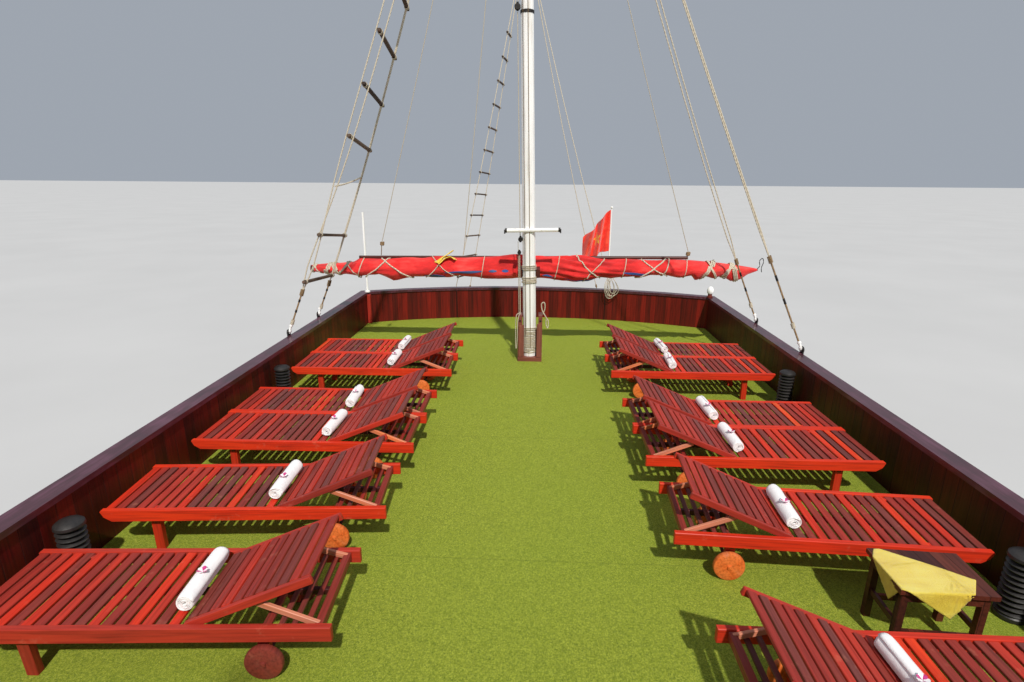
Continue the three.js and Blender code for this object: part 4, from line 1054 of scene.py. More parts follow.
def turns_round(centre, axis, radius, thick, turns, spread):
    """A path of rope turns round a rod, side by side."""
    axis = Vector(axis).normalized()
    side = axis.orthogonal().normalized()
    other = axis.cross(side)
    steps, path = int(turns * STEPS_ROUND), []
    for i in range(steps + 1):
        turn = math.tau * i / STEPS_ROUND
        out = side * math.cos(turn) + other * math.sin(turn)
        path.append(Vector(centre) + axis * spread * (i / steps - 0.5) + out * (radius + thick))
    return path


print(sum(len(stay["feet"]) + len(stay["extra"]) for stay in STAYS.values()), "stays")

# %% Stays, ladders and plates
STAY_ROPE = {"radius": 0.0115, "lay": 6.0}
# Sleeves of a stay's foot: from and to, in metres from the plate, and their radius
SLEEVES = [(0.0, 0.13, 0.017), (0.025, 0.05, 0.028), (0.10, 0.12, 0.024)]
BOLT = [(0.015, 0), (0.013, 0.010), (0.004, 0.012)]
THIMBLE = [(0.020, -0.012), (0.040, -0.012), (0.046, 0), (0.040, 0.012), (0.020, 0.012)]
COLLAR = [(0.004, -0.07), (0.034, -0.066), (0.034, 0.066), (0.004, 0.07)]


def parted(foot, share, knot):
    """How far one part of a doubled stay lies to the side of the middle."""
    near = min(1, max(0, share - knot) / 0.04, 4 * (1 - share))
    return Vector((foot[5] * math.tanh((share - foot[6]) / 0.1) * near, 0, 0))


def one_stay(ropes, fittings, stay, foot, main):
    """One stay: pale rope above its knot and brown rope under it."""
    knot = share_at(stay, foot, foot[Z] + foot[4])
    upper = [(stay_point(stay, foot, t), t) for t in np.linspace(knot, 1, 44)]
    if main:
        for part in (-1, 1):
            ropes.rope([point + part * parted(foot, t, knot) for point, t in upper], 0.0085, lay=6.0)
    else:
        ropes.rope([point for point, _ in upper], **STAY_ROPE)
    ropes.finish = 1
    ropes.rope([stay_point(stay, foot, t) for t in np.linspace(0.004, knot, 10)], **STAY_ROPE)
    toward = stay_start(stay, foot) - Vector(foot[:3])
    ropes.rope(turns_round(stay_point(stay, foot, knot), toward, 0.014, 0.007, 6, 0.09), 0.007)
    ropes.finish = 0
    ropes.rope(turns_round(stay_point(stay, foot, knot * 0.28), toward, 0.013, 0.006, 6, 0.07), 0.006)
    for share in (0.55, 0.80):
        fittings.rod([stay_point(stay, foot, knot * (share + k)) for k in (-0.03, 0.03)], 0.0145)
    fittings.finish = 1
    for start, end, thick in SLEEVES:
        sleeve = [Vector(foot[:3]) + toward.normalized() * step for step in (start, end)]
        fittings.rod(sleeve, thick, sides=14)
    fittings.finish = 0


def iron_plate(fittings, stay, foot):
    x, y, z = foot[:3]
    side = math.copysign(1, x)
    fittings.board((x, y, z - stay["plate"]), (x, y, z + 0.02), 0.070, 0.024, (side, 0, 0))
    fittings.turned(THIMBLE, (x, y, z + 0.015), (1, 0, 0))
    for drop in (0.06, 0.16, 0.25):
        if drop < stay["plate"]:
            fittings.turned(BOLT, (x + side * 0.011, y, z - drop), (side, 0, 0), sides=12)


def ladder(ropes, rungs, stay, main):
    """Rungs from the first stay to the second. One of the main ladder's is rope."""
    first, second = stay["feet"][:2]
    for i, (z, drop) in enumerate(stay["rungs"]):
        roped = main and i == ROPE_RUNG
        aft = stay_point(stay, first, share_at(stay, first, z))
        fore = stay_point(stay, second, share_at(stay, second, z + 0.12 if roped else z - drop))
        if roped:
            ropes.rope([aft.lerp(fore, t) - Vector((0, 0, 0.015 * math.sin(math.pi * t)))
                        for t in np.linspace(0, 1, 9)], 0.010)
            continue
        over = (fore - aft).normalized() * 0.06
        rungs.board(aft - over, fore + over, 0.038, 0.048, (1, 0, 0), ropes.chance.random(), 0.006)
        for end in (aft, fore):
            ropes.rope(turns_round(end, fore - aft, 0.026, 0.004, 4, 0.036), 0.004)


for name, stay in STAYS.items():
    main = name == "main"
    ropes, rungs, fittings = Bench(41), Bench(42), Bench(43)
    for foot in stay["feet"] + stay["extra"]:
        one_stay(ropes, fittings, stay, foot, main)
    for foot in stay["feet"]:
        iron_plate(fittings, stay, foot)
    if stay["rungs"]:
        ladder(ropes, rungs, stay, main)
        rungs.make(name + "_rungs", "weathered_rungs", "dark_timber")
    fittings.turned([(stay["collar"] + out, up) for out, up in COLLAR], stay["head"])
    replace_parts(ropes.make(name + "_shrouds", "pale_rope brown_rope", "rope"), name + "_stays")
    fittings.make(name + "_chainplates", "black_iron white_paint", "iron")

# %% [markdown]
# Three thin lines run from the main masthead to the yard. The two knots at their lower
# ends ride on the sail.

# %% Lifts of the yard
LIFT_HEAD = Vector((-0.07 - math.tan(LEAN) * (12.30 - 3.16), 1.0, 12.30))
LIFTS = [(2.30, 1.45, 4.70), (-2.38, 1.45, 4.80), (-1.12, 1.45, 4.62)]
YARD_TOP = 4.59
HOOK = [(3.33, 1.43, 4.44), (3.38, 1.43, 4.50), (3.37, 1.43, 4.58), (3.41, 1.43, 4.62), (3.43, 1.43, 4.56),
        (3.41, 1.43, 4.48), (3.42, 1.43, 4.41)]
bench = Bench(44)
for end in LIFTS:
    bench.rope([LIFT_HEAD.lerp(Vector(end), t) - Vector((0, 0, 0.30 * t * (1 - t)))
                for t in np.linspace(0.012, 1, 36)], 0.0055)
lifts = bench.make("main_lifts", "pale_rope", "rope")
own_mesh(lifts)

bench = Bench(45)
for x, y, z in LIFTS[:2]:
    bench.rope(turns_round((x, y, z - 0.03), (0.1, 0, 1), 0.016, 0.009, 4, 0.050), 0.009)
    bench.rope(turns_round((x, y, z - 0.03), (1, 0.2, 0.1), 0.020, 0.006, 2, 0.020), 0.006)
    bench.rope([(x, y, z), (x - 0.01, y, z - 0.06), (x - 0.025, y, YARD_TOP)], 0.006)
bench.finish = 1
bench.rod(smooth_path(HOOK, 4), 0.006, sides=8)
bench.make("lift_knots", "brown_rope black_iron", "rope", "main_sail")

# %% [markdown]
# The main mast stands between two cheeks on the turf and is lashed there with white rope
# that has been wound round by hand, never quite evenly. More turns hold the boom's jaws.
# Two slim lines run down the after side, and the halyard comes down to port through a
# block to the port cheek. A ring marks the joint in the mast.

# %% Mast fittings
STEPS_A_WIND = 20
MAST_HEAD_Z = 12.4
SPAR_Z = 3.163 + 1.88
JOINT_Z = 7.83
# Rope wound round the mast: from and to, turns, radius, seed and how far it wanders
WINDINGS = [(3.22, 3.60, 17, 0.0065, 1, 0.020), (3.26, 3.52, 7, 0.006, 2, 0.045),
            (4.27, 4.36, 5, 0.008, 3, 0.010), (4.47, 4.53, 4, 0.007, 4, 0.008)]
# Slim lines down the after side: from, to the right, clear of the mast, radius
AFTER_LINES = [(3.30, 0.012, 0.010, 0.0045), (3.50, -0.055, 0.006, 0.0035)]
# Parts of the halyard: from and to, forward, to the right, points and radius
HALYARD = [(3.80, 4.70, -0.05, -0.135, 14, 0.0065), (3.80, 4.88, -0.05, -0.155, 14, 0.0045),
           (4.95, 7.82, -0.04, -0.125, 26, 0.006), (7.95, 12.3, -0.02, -0.115, 38, 0.006)]
LOOP = [(0.185, -0.02, 3.80), (0.215, -0.04, 3.90), (0.205, -0.05, 3.985), (0.165, -0.05, 3.97),
        (0.175, -0.045, 3.87), (0.225, -0.05, 3.78), (0.270, -0.05, 3.70), (0.262, -0.055, 3.60),
        (0.235, -0.05, 3.66), (0.240, -0.05, 3.75)]
HANK = [(-0.150, -0.10, 3.84), (-0.205, -0.13, 3.80), (-0.215, -0.13, 3.60), (-0.212, -0.13, 3.35),
        (-0.200, -0.13, 3.30), (-0.190, -0.13, 3.45), (-0.185, -0.13, 3.70), (-0.160, -0.12, 3.83)]


def mast_point(z, forward=0.0, right=0.0):
    """A point beside the main mast's leaning centre line."""
    return (MAIN_FOOT[X] - math.tan(LEAN) * (z - MAIN_FOOT[Z]) + right, MAIN_FOOT[Y] + forward, z)


def mast_radius(z):
    return 0.100 - 0.028 * (z - MAIN_FOOT[Z]) / 9.64


ropes = Bench(51)
for low, high, turns, thick, seed, wander in WINDINGS:
    chance, steps, path = random.Random(seed), turns * STEPS_A_WIND, []
    drift = [chance.uniform(-wander, wander) for _ in range(turns * 4 + 8)]
    for i in range(steps + 1):
        angle = math.tau * i / STEPS_A_WIND
        z = low + (high - low) * i / steps + np.interp(i / 5, range(len(drift)), drift)
        reach = mast_radius(z) + thick * 1.05
        path.append(mast_point(z, reach * math.sin(angle), reach * math.cos(angle)))
    ropes.rope(path, thick)
for k in range(6):
    knot = mast_point(3.20 + 0.05 * k, 0, -0.150 if k % 2 else 0.150)
    ropes.rope(turns_round(knot, (1, 0.2, 0.3), 0.034, 0.006, 1.5, 0.04), 0.006)
ropes.finish = 1
for low, right, clear, thick in AFTER_LINES:
    line = [mast_point(z, -mast_radius(z) - clear, right) for z in np.linspace(low, MAST_HEAD_Z, 60)]
    ropes.rope(line, thick)
ropes.finish = 0
for low, high, forward, right, count, thick in HALYARD:
    ropes.rope([mast_point(z, forward, right) for z in np.linspace(low, high, count)], thick)
for path, thick in ((LOOP, 0.008), (HANK, 0.006)):
    ropes.rope([(MAIN_FOOT[X] + x, MAIN_FOOT[Y] + y, z) for x, y, z in smooth_path(path)], thick)
ropes.make("mast_ropes", "pale_rope brown_rope", "rope")

iron = Bench(52)
radius = mast_radius(JOINT_Z)
iron.turned([(radius, -0.02), (radius + 0.006, -0.018), (radius + 0.006, 0.018), (radius, 0.02)],
            mast_point(JOINT_Z))
for end, out in ((-0.33, -1), (0.44, 1)):
    x, y, z = mast_point(SPAR_Z, -0.095, end)
    z += end * math.tan(LEAN)
    iron.rod([(x - out * 0.02, y, z), (x + out * 0.008, y, z)], 0.0315, sides=14)
    iron.rod([(x + out * 0.012, y, z + 0.012), (x + out * 0.012, y, z - 0.045)], 0.010)
for z, right, big in ((4.91, -0.120, 0.62), (4.72, -0.140, 0.50), (7.88, -0.125, 0.72)):
    centre = Vector(mast_point(z, -0.05, right))
    for forward, rim, waist, deep in ((-0.020, 0.050, 0.055, 0.008), (0.020, 0.050, 0.055, 0.008),
                                      (0.0, 0.038, 0.030, 0.012)):
        iron.turned([(rim * big, -deep), (waist * big, 0), (rim * big, deep)],
                    centre + Vector((0, forward, 0)), (0, 1, 0), sides=18)
    foot, head = (centre + Vector((0, 0, up * big)) for up in (-0.07, 0.08))
    iron.board(foot, head, 0.03, 0.012, (0, 1, 0))
iron.make("mast_irons", "black_iron", "iron")

cheeks, facing = Bench(53), Bench(54)
for side, out, top in ((-1, 0.128, 3.66), (1, 0.136, 3.68)):
    for back in (-1, 1):
        for z in (0.12, 0.42, 0.62):
            cheeks.turned([(0.016, 0), (0.014, 0.007), (0.004, 0.009)],
                          (MAIN_FOOT[X] + side * 0.151, MAIN_FOOT[Y] + back * 0.1176, TURF_TOP + z),
                          (0, back, 0), sides=10)
    foot = (MAIN_FOOT[X] + side * out, MAIN_FOOT[Y] - 0.132)
    facing.board((*foot, 3.165), (*foot, top), 0.074, 0.022, (0, 1, 0), 0.2)
cheeks.make("cheek_bolts", "black_iron", "iron")
facing.make("cheek_facings", "facing_varnish")

# %% [markdown]
# Four louvred deck lamps stand against the bulwarks, one white lamp sits on the cap's
# starboard corner, and a white pole stands at the port corner. They are turned pieces:
# a lamp is a post with a stack of sloping rings under a cap.

# %% Lamps and the white pole
LAMPS = [(-3.03, -4.12), (-3.03, -0.93), (3.03, -4.13), (3.03, -0.72)]
LAMP_FOOT = [(0.083, 0.0), (0.088, 0.006), (0.088, 0.030), (0.078, 0.040)]
LAMP_CAP = [(0.088, 0.416), (0.091, 0.422), (0.088, 0.440), (0.070, 0.456), (0.032, 0.464), (0.004, 0.465)]
CORNER_LAMP, POLE = (3.18, 3.02, 3.695), (-3.15, 3.05, 3.69)
GLOBE = [(0.034, 0.060), (0.050, 0.078), (0.058, 0.108), (0.057, 0.144), (0.044, 0.178), (0.022, 0.197),
         (0.004, 0.200)]

bench = Bench(61)
for x, y in LAMPS:
    foot = (x, y, TURF_TOP)
    bench.turned(LAMP_FOOT, foot, sides=32)
    bench.turned([(0.050, 0.035), (0.050, 0.42)], foot, sides=24)
    for k in range(10):
        z = 0.045 + 0.037 * k
        bench.turned([(0.052, z + 0.018), (0.086, z), (0.088, z + 0.005), (0.056, z + 0.027)], foot, sides=32)
    bench.turned(LAMP_CAP, foot, sides=32)
bench.make("deck_lamps", "lamp_plastic", "iron")

bench = Bench(62)
bench.turned(GLOBE, CORNER_LAMP, sides=28)
bench.finish = 1
bench.turned([(0.052, 0), (0.054, 0.012), (0.040, 0.020), (0.036, 0.056), (0.042, 0.066)], CORNER_LAMP,
             sides=28)
bench.finish = 0
bench.rod([POLE, (*POLE[:2], 5.15)], 0.020, sides=14)
bench.turned([(0.050, 0), (0.050, 0.02), (0.026, 0.03), (0.024, 0.08), (0.004, 0.082)], POLE)
bench.make("white_fittings", "white_paint trim_varnish", "white_paint")

bench = Bench(63)
bench.block((-3.150, 2.975, 3.102), (-3.085, 3.040, 3.648), 0.45)
for side in (-1, 1):
    bench.block((side * 3.152, -7.59, 3.102), (side * 3.080, -7.52, 3.648), 0.30)
bench.make("corner_posts")

# %% [markdown]
# The side table is a CAD piece with its own finish. A small yellow cloth is thrown over
# it corner to corner. It is real cloth: a flat square dropped by Blender's cloth
# simulation on a stand-in of the table top, then kept as a plain mesh.

# %% Cloth that falls and hangs
CLOTH_SETTINGS = {"quality": 7, "bending_stiffness": 0.12}
COLLISION_SETTINGS = {"use_self_collision": False, "distance_min": 0.002, "friction": 40}


def cloth_grid(name, wide, long, steps, matrix, word):
    across, down = steps
    points = [(wide * (i / across - 0.5), long * (j / down - 0.5), 0.0)
              for j in range(down + 1) for i in range(across + 1)]
    return new_piece(name, points, quads(down + 1, across + 1, closed=False), word, matrix)


def bumper(low, high):
    """A box that the cloth falls on."""
    bpy.ops.mesh.primitive_cube_add(size=1)
    box = bpy.context.object
    box.scale = [b - a for a, b in zip(low, high)]
    box.location = [(a + b) / 2 for a, b in zip(low, high)]
    box.modifiers.new("hit", "COLLISION")
    box.collision.thickness_outer = 0.002
    return box


def wind(strength):
    """Wind from ahead, gusty."""
    bpy.ops.object.effector_add(type="WIND", rotation=(math.radians(90), 0, 0))
    fan = bpy.context.object
    fan.field.strength, fan.field.noise, fan.field.seed = strength, 0.6, 5
    return fan


def simulate(piece, frames, pins, helper, stiff=15.0, mass=0.2):
    """Lets the cloth fall for some frames and keeps where it ends."""
    scene = bpy.context.scene
    cloth = piece.modifiers.new("cloth", "CLOTH")
    stiffness = {"mass": mass, "tension_stiffness": stiff, "compression_stiffness": stiff}
    for key, value in (CLOTH_SETTINGS | stiffness).items():
        setattr(cloth.settings, key, value)
    for key, value in COLLISION_SETTINGS.items():
        setattr(cloth.collision_settings, key, value)
    piece.vertex_groups.new(name="pins").add(pins, 1.0, "REPLACE")
    cloth.settings.vertex_group_mass = "pins"
    cloth.point_cache.frame_end = frames
    for step in range(1, frames + 1):
        scene.frame_set(step)
    ready = piece.evaluated_get(bpy.context.evaluated_depsgraph_get())
    settled = bpy.data.meshes.new_from_object(ready)
    piece.modifiers.clear()
    piece.data = settled
    scene.frame_set(1)
    bpy.data.objects.remove(helper)
    settled.shade_smooth()


def thicken(piece, thick):
    piece.modifiers.new("weave", "SOLIDIFY").thickness = thick


TABLE_AT, TABLE_TOP = (2.33, -4.32), 3.5503
CLOTH = {"wide": 0.50, "long": 0.36, "thick": 0.0015}
lay_cloth = Matrix.Translation((2.236, -4.392, TABLE_TOP + 0.0045))
lay_cloth = lay_cloth @ Matrix.Rotation(math.radians(-34), 4, "Z")
table_cloth = cloth_grid("table_cloth", CLOTH["wide"], CLOTH["long"], (60, 44), lay_cloth, "yellow_cotton")
weighted = [vertex.index for vertex in table_cloth.data.vertices
            if math.hypot(vertex.co.x - 2.30, vertex.co.y + 4.36) < 0.10]
table = bumper((TABLE_AT[X] - 0.26, TABLE_AT[Y] - 0.19, TABLE_TOP - 0.42),
               (TABLE_AT[X] + 0.26, TABLE_AT[Y] + 0.19, TABLE_TOP))
simulate(table_cloth, 40, weighted, table)
thicken(table_cloth, CLOTH["thick"])
take_aboard(table_cloth)
heights = [vertex.co.z - TABLE_TOP for vertex in table_cloth.data.vertices]
print("table cloth from", round(min(heights), 3), "to", round(max(heights), 3), "m over the table top")

# %% [markdown]
# Both flags are plain red with a yellow star. The ensign at the stern is simulated, pinned
# along its staff in a light air. The small jack on the front bulwark hangs as in the
# photograph: held along its hoist, the rest slides down in folds that grow towards the
# free end, so its shape is written as a surface of (along the fly, down the hoist).

# %% Flags
STAR_REACH, STAR_NOTCH, HALF_POINT = 0.24, 0.40, math.pi / 5


def starred(piece, steps, wide, high):
    """Colours the faces of a five-pointed star at the middle of the flat cloth."""
    piece.data.materials.append(finishes["star_yellow"])
    outer = STAR_REACH * high
    notch = outer * STAR_NOTCH
    edge_x, edge_y = notch * math.cos(HALF_POINT) - outer, notch * math.sin(HALF_POINT)
    for index, face in enumerate(piece.data.polygons):
        row, column = divmod(index, steps[0])
        x, y = wide * ((column + 0.5) / steps[0] - 0.5), high * ((row + 0.5) / steps[1] - 0.5)
        angle = abs((math.atan2(x, y) + HALF_POINT) % (2 * HALF_POINT) - HALF_POINT)
        reach = outer * edge_y / (edge_y * math.cos(angle) - edge_x * math.sin(angle))
        if math.hypot(x, y) < reach:
            face.material_index = 1


def hoist_flag(piece, steps, flag):
    wide, high = flag["fly"], flag["hoist"]
    starred(piece, steps, wide, high)
    fine = piece.modifiers.new("fine", "SUBSURF")
    fine.levels = fine.render_levels = 1
    thicken(piece, 0.0012)
    piece.data.shade_smooth()
    take_aboard(piece)


JACK = {"x": 1.415, "y": 3.80, "top": 5.20, "hoist": 0.78, "fly": 1.17}
JACK_STEPS, ENSIGN_STEPS = (64, 44), (42, 28)
jack = cloth_grid("jack_flag", 1, 1, JACK_STEPS, Matrix.Identity(4), "flag_red")
for vertex in jack.data.vertices:
    out, down = vertex.co.x + 0.5, 0.5 - vertex.co.y
    swing = math.tau * (2.3 * out - 0.5 * down) + 0.6
    fold = 0.10 * min(1, 4 * out) * (1 - 0.15 * down * out) * math.sin(swing)
    x = 0.47 * out ** 0.9 + 0.035 * out * math.sin(swing * 0.5 + 2.0 * down)
    z = JACK["hoist"] * down * (1 - 0.45 * out) + 0.56 * out ** 1.1
    z += 0.03 * out * math.sin(5.0 * out + 4.0 * down)
    vertex.co = (JACK["x"] - 0.014 - x, JACK["y"] + fold, JACK["top"] - z)
hoist_flag(jack, JACK_STEPS, JACK)

ENSIGN = {"fly": 1.35, "hoist": 0.90, "top": (0.034, -14.84, 5.14)}
hang = Matrix.Translation(ENSIGN["top"]) @ Matrix.Rotation(math.radians(-90), 4, "Z")
hang = hang @ Matrix.Rotation(math.pi / 2, 4, "X")
hang = hang @ Matrix.Translation((ENSIGN["fly"] / 2, -ENSIGN["hoist"] / 2, 0))
ensign = cloth_grid("ensign_flag", ENSIGN["fly"], ENSIGN["hoist"], ENSIGN_STEPS, hang, "flag_red")
hoist_edge = [row * (ENSIGN_STEPS[0] + 1) for row in range(ENSIGN_STEPS[1] + 1)]
simulate(ensign, 60, hoist_edge, wind(10.0), stiff=6.0, mass=0.12)
hoist_flag(ensign, ENSIGN_STEPS, ENSIGN)
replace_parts(ensign, "ensign")

# %% Staff of the jack and its spare line
bench = Bench(71)
bench.rod([(JACK["x"], JACK["y"], 3.69), (JACK["x"], JACK["y"], 5.24)], 0.011, sides=12)
bench.turned([(0.020, 0), (0.026, 0.012), (0.018, 0.028), (0.004, 0.034)], (JACK["x"], JACK["y"], 5.23))
bench.make("jack_staff", "white_paint", "white_paint")

bench = Bench(72)
for k in range(5):
    wide, low, aside = 0.028 + 0.020 * k, 3.58 + 0.045 * (k % 3), 0.022 * (k * 7 % 5 - 2)
    spare = [(0.0, 0.20, 3.95), (-wide, 0.0, 3.86), (-wide * 1.2, -0.03, 3.74), (-wide * 0.7, -0.03, low),
             (wide * 0.2, -0.03, low - 0.02), (wide, -0.03, low + 0.06), (wide * 0.9, -0.02, 3.80),
             (0.01, 0.19, 3.94)]
    bench.rope([(JACK["x"] + 0.03 + aside + x, 3.53 + y - 0.012 * k, z)
                for x, y, z in smooth_path(spare)], 0.006)
bench.make("spare_line", "pale_rope", "rope")
print("flags hoisted")

# %% [markdown]
# The outside isn't in the photograph, so it follows the type: rubbing strakes and a rail
# cap along the hull, mouldings on the edge of the sundeck, framed windows and doors,
# a balustrade round the poop, and gear on the foredeck. A moulding is a plank section run
# along a line; the lines come from the same measures as the CAD.

# %% Mouldings of the hull and the sundeck
SUN = {"half": 3.156, "side": 3.05, "middle": 3.72, "back": -7.60}
STERN, BOW = -15.0, 11.2
# A strake: the line it follows, how far under it, its width, height and tone
STRAKES = [("top", -0.11, 0.022, 0.10, 0.36), ("top", -0.30, 0.018, 0.05, 0.75),
           ("deck", -0.10, 0.07, 0.13, 0.62), ("deck", -0.42, 0.05, 0.09, 0.70)]
# An edge moulding: outside the turf, its after end, its height, its section and tone
EDGES = [(0.158, -13.48, 3.062, 0.030, 0.050, 0.36), (0.155, -13.48, 2.992, 0.022, 0.034, 0.66),
         (0.122, -7.56, 3.115, 0.024, 0.050, 0.45), (0.120, -7.56, 3.625, 0.020, 0.040, 0.45),
         (0.120, -7.56, 3.36, 0.020, 0.060, 0.66)]
# A level line round the poop: its two ends
POOP_LINES = [((-3.312, -7.56), (-3.312, -13.50)), ((3.312, -7.56), (3.312, -13.50)),
              ((-3.31, -13.512), (3.31, -13.512)), ((-3.31, -7.538), (3.31, -7.538))]


def moulding(bench, path, wide, high, tone):
    """wide: level, across the path. high: upright."""
    bench.sweep(path, plank_section(wide, high, 0.3 * min(wide, high)), (0, 0, 1), tone)


def deck_edge(off, back, steps=8):
    """The sundeck's outline, off metres outside the turf, from port aft round the front."""
    rise = SUN["middle"] - SUN["side"]
    radius = (SUN["half"] ** 2 + rise ** 2) / (2 * rise)
    half = SUN["half"] + off
    arc = [(x, SUN["middle"] - radius + math.sqrt((radius + off) ** 2 - x * x))
           for x in np.linspace(-half, half, steps + 1)]
    return [(-half, back), *arc, (half, back)]


def raised(outline, z):
    """Puts an outline at a height, with a point close to each corner to keep it sharp."""
    path = []
    for (x0, y0), (x1, y1) in zip(outline, outline[1:]):
        step = 0.002 / max(math.hypot(x1 - x0, y1 - y0), 0.01)
        path += [(x0 + (x1 - x0) * t, y0 + (y1 - y0) * t, z) for t in (step, 1 - step)]
    return [(*outline[0], z), *path, (*outline[-1], z)]


joints = Bench(80)
front = np.array(deck_edge(-0.010, SUN["back"], 64)[1:-1])
for x in (-1.54, 1.35):
    y = float(np.interp(x, front[:, X], front[:, Y]))
    joints.board((x, y, 3.105), (x, y, 3.645), 0.022, 0.012, (0, 1, 0), 1.0)
joints.make("bulwark_joints")

bench = Bench(81)
along_hull = np.concatenate([np.linspace(-14.99, 9.0, 26), np.linspace(9.4, 11.19, 8)])
for side in (-1, 1):
    for word, drop, wide, high, tone in STRAKES:
        strake = [(side * (hull_half(y, hull(y, word) + drop) + wide / 2 - 0.004), y, hull(y, word) + drop)
                  for y in along_hull]
        moulding(bench, strake, wide, high, tone)
    cap = [(side * (hull(y, "rail") - 0.068), y, hull(y, "top") + 0.022) for y in along_hull]
    moulding(bench, cap, 0.17, 0.042, 0.45)
for half, y, z in ((2.70, STERN + 0.05, 2.073), (1.40, BOW - 0.06, 2.303)):
    moulding(bench, [(-half, y, z), (half, y, z)], 0.16, 0.042, 0.45)
for y, z in ((STERN, 1.86), (STERN, 0.90), (BOW, 2.13), (BOW, 1.72)):
    half, out = hull_half(y, z) - 0.01, y + math.copysign(0.016, y)
    moulding(bench, [(-half, out, z), (half, out, z)], 0.034, 0.10, 0.6)
for x in (-1.9, -0.63, 0.63, 1.9):
    bench.board((x, STERN - 0.014, 0.95), (x, STERN - 0.014, 1.81), 0.08, 0.03, (0, 1, 0), 0.6)
bench.make("hull_strakes", "trim_varnish")

bench = Bench(82)
for off, back, z, wide, high, tone in EDGES:
    moulding(bench, raised(deck_edge(off, back), z), wide, high, tone)
for z in (2.992, 3.062):
    moulding(bench, [(-3.30, -13.512, z), (3.30, -13.512, z)], 0.026, 0.04, 0.5)
for z in (4.005, 4.075):
    for start, end in POOP_LINES:
        moulding(bench, [(*start, z), (*end, z)], 0.024, 0.04, 0.45)
bench.make("deck_mouldings", "trim_varnish")

# %% [markdown]
# A window or a panel on a wall is described by a point of the wall's face and the way the
# wall looks. The trim is four boards round the opening, with a deeper sill, and bars
# inside it. The doors are dressed the same way, but their boards ride on the door.

# %% Windows, doors and house trim
HOUSE = {"half": 2.45, "back": -11.50, "front": 1.90}
# A level board along the house: its height, how high and how thick it is
HOUSE_LINES = [(0.93, 0.14, 0.024), (2.90, 0.12, 0.030), (2.81, 0.035, 0.045), (1.60, 0.06, 0.02)]


class Wall:
    """A wall's face: a point of it, and the way it looks. Boards lie flat on it, between
    two (along, up) places; off is how far out their middle is."""

    def __init__(self, bench, at, out):
        self.bench, self.at, self.out = bench, at, out

    def point(self, along, up, off=0.0):
        (x, y), (out_x, out_y) = self.at, self.out
        return (x - out_y * along + out_x * off, y + out_x * along + out_y * off, up)

    def strip(self, start, end, wide, thick, tone, off=None):
        off = thick / 2 if off is None else off
        start, end = self.point(*start, off), self.point(*end, off)
        self.bench.board(start, end, wide, thick, (*self.out, 0), tone, 0.004)

    def level(self, half, z, wide, thick, tone, off=None):
        self.strip((-half, z), (half, z), wide, thick, tone, off)

    def upright(self, along, low, high, wide, thick, tone, off=None):
        self.strip((along, low), (along, high), wide, thick, tone, off)

    def framed(self, half, low, high, bars=(), wide=0.065, deep=-0.03):
        """Trim, sill and bars of a window, its opening half metres each way."""
        tone, bar_tone = 0.36, 0.56
        for side in (-1, 1):
            self.upright(side * (half + wide / 2), low - 0.01, high + 0.01, wide, 0.026, tone)
        self.level(half + wide * 1.3, high + wide / 2, wide, 0.034, tone)
        self.level(half + wide * 1.5, low - 0.025, 0.045, 0.07, tone)
        for bar in bars:
            self.upright(bar, low, high, 0.036, 0.030, bar_tone, deep)
        self.level(half, low + 0.70 * (high - low), 0.030, 0.026, bar_tone, deep)

    def pane(self, half, low, high, off):
        corners = [(-half, low), (half, low), (half, high), (-half, high)]
        self.bench.slab(corners, 0.006, self.point(0, 0, off), (-self.out[Y], self.out[X], 0), (0, 0, 1),
                        0.5, 0.002)


def poop_window(at, out):
    Wall(trim, at, out).framed(0.33, 3.38, 3.80, wide=0.05)
    Wall(glass, at, out).pane(0.34, 3.37, 3.81, -0.045)


trim, glass = Bench(83), Bench(84)
for side in (-1, 1):
    for i in range(8):
        Wall(trim, (side * HOUSE["half"], -10.4 + 1.6 * i), (side, 0)).framed(0.525, 1.75, 2.60, (0.0,))
    wall = Wall(trim, (side * HOUSE["half"], 0), (side, 0))
    back, front = sorted((HOUSE["back"] * side, HOUSE["front"] * side))
    for z, high, thick in HOUSE_LINES:
        wall.strip((back, z), (front, z), high, thick, 0.58)
    for y in (HOUSE["back"] + 0.05, HOUSE["front"] - 0.05):
        wall.upright(y * side, 1.0, 2.84, 0.10, 0.034, 0.58)
    for i in range(4):
        poop_window((side * 3.25, -12.5 + 1.3 * i), (side, 0))
for x in (-1.9, 0.0, 1.9):
    poop_window((x, -13.3), (0, -1))
DOOR_START = -0.7
for y, face, centres, door_end in ((HOUSE["front"], 1, (-1.52, 1.52), 0.7),
                                   (HOUSE["back"], -1, (-1.55, 1.10), 0.0)):
    for x in centres:
        wall = Wall(trim, (x, y), (0, face))
        wall.framed(0.46, 1.55, 2.55, (0.0,), deep=0.014)
        Wall(glass, (x, y), (0, face)).pane(0.47, 1.54, 2.56, 0.004)
        wall.upright(0, 0.98, 1.44, 0.70, 0.016, 0.7)
    for x in (DOOR_START - 0.05, door_end + 0.05):
        Wall(trim, (x, y), (0, face)).upright(0, 0.87, 2.84, 0.08, 0.020, 0.45)
    lintel = Wall(trim, ((door_end + DOOR_START) / 2, y), (0, face))
    lintel.level((door_end - DOOR_START) / 2 + 0.12, 2.885, 0.08, 0.030, 0.45)
trim.make("house_trim", "trim_varnish")
glass.make("small_panes", "dark_glass", "glass")


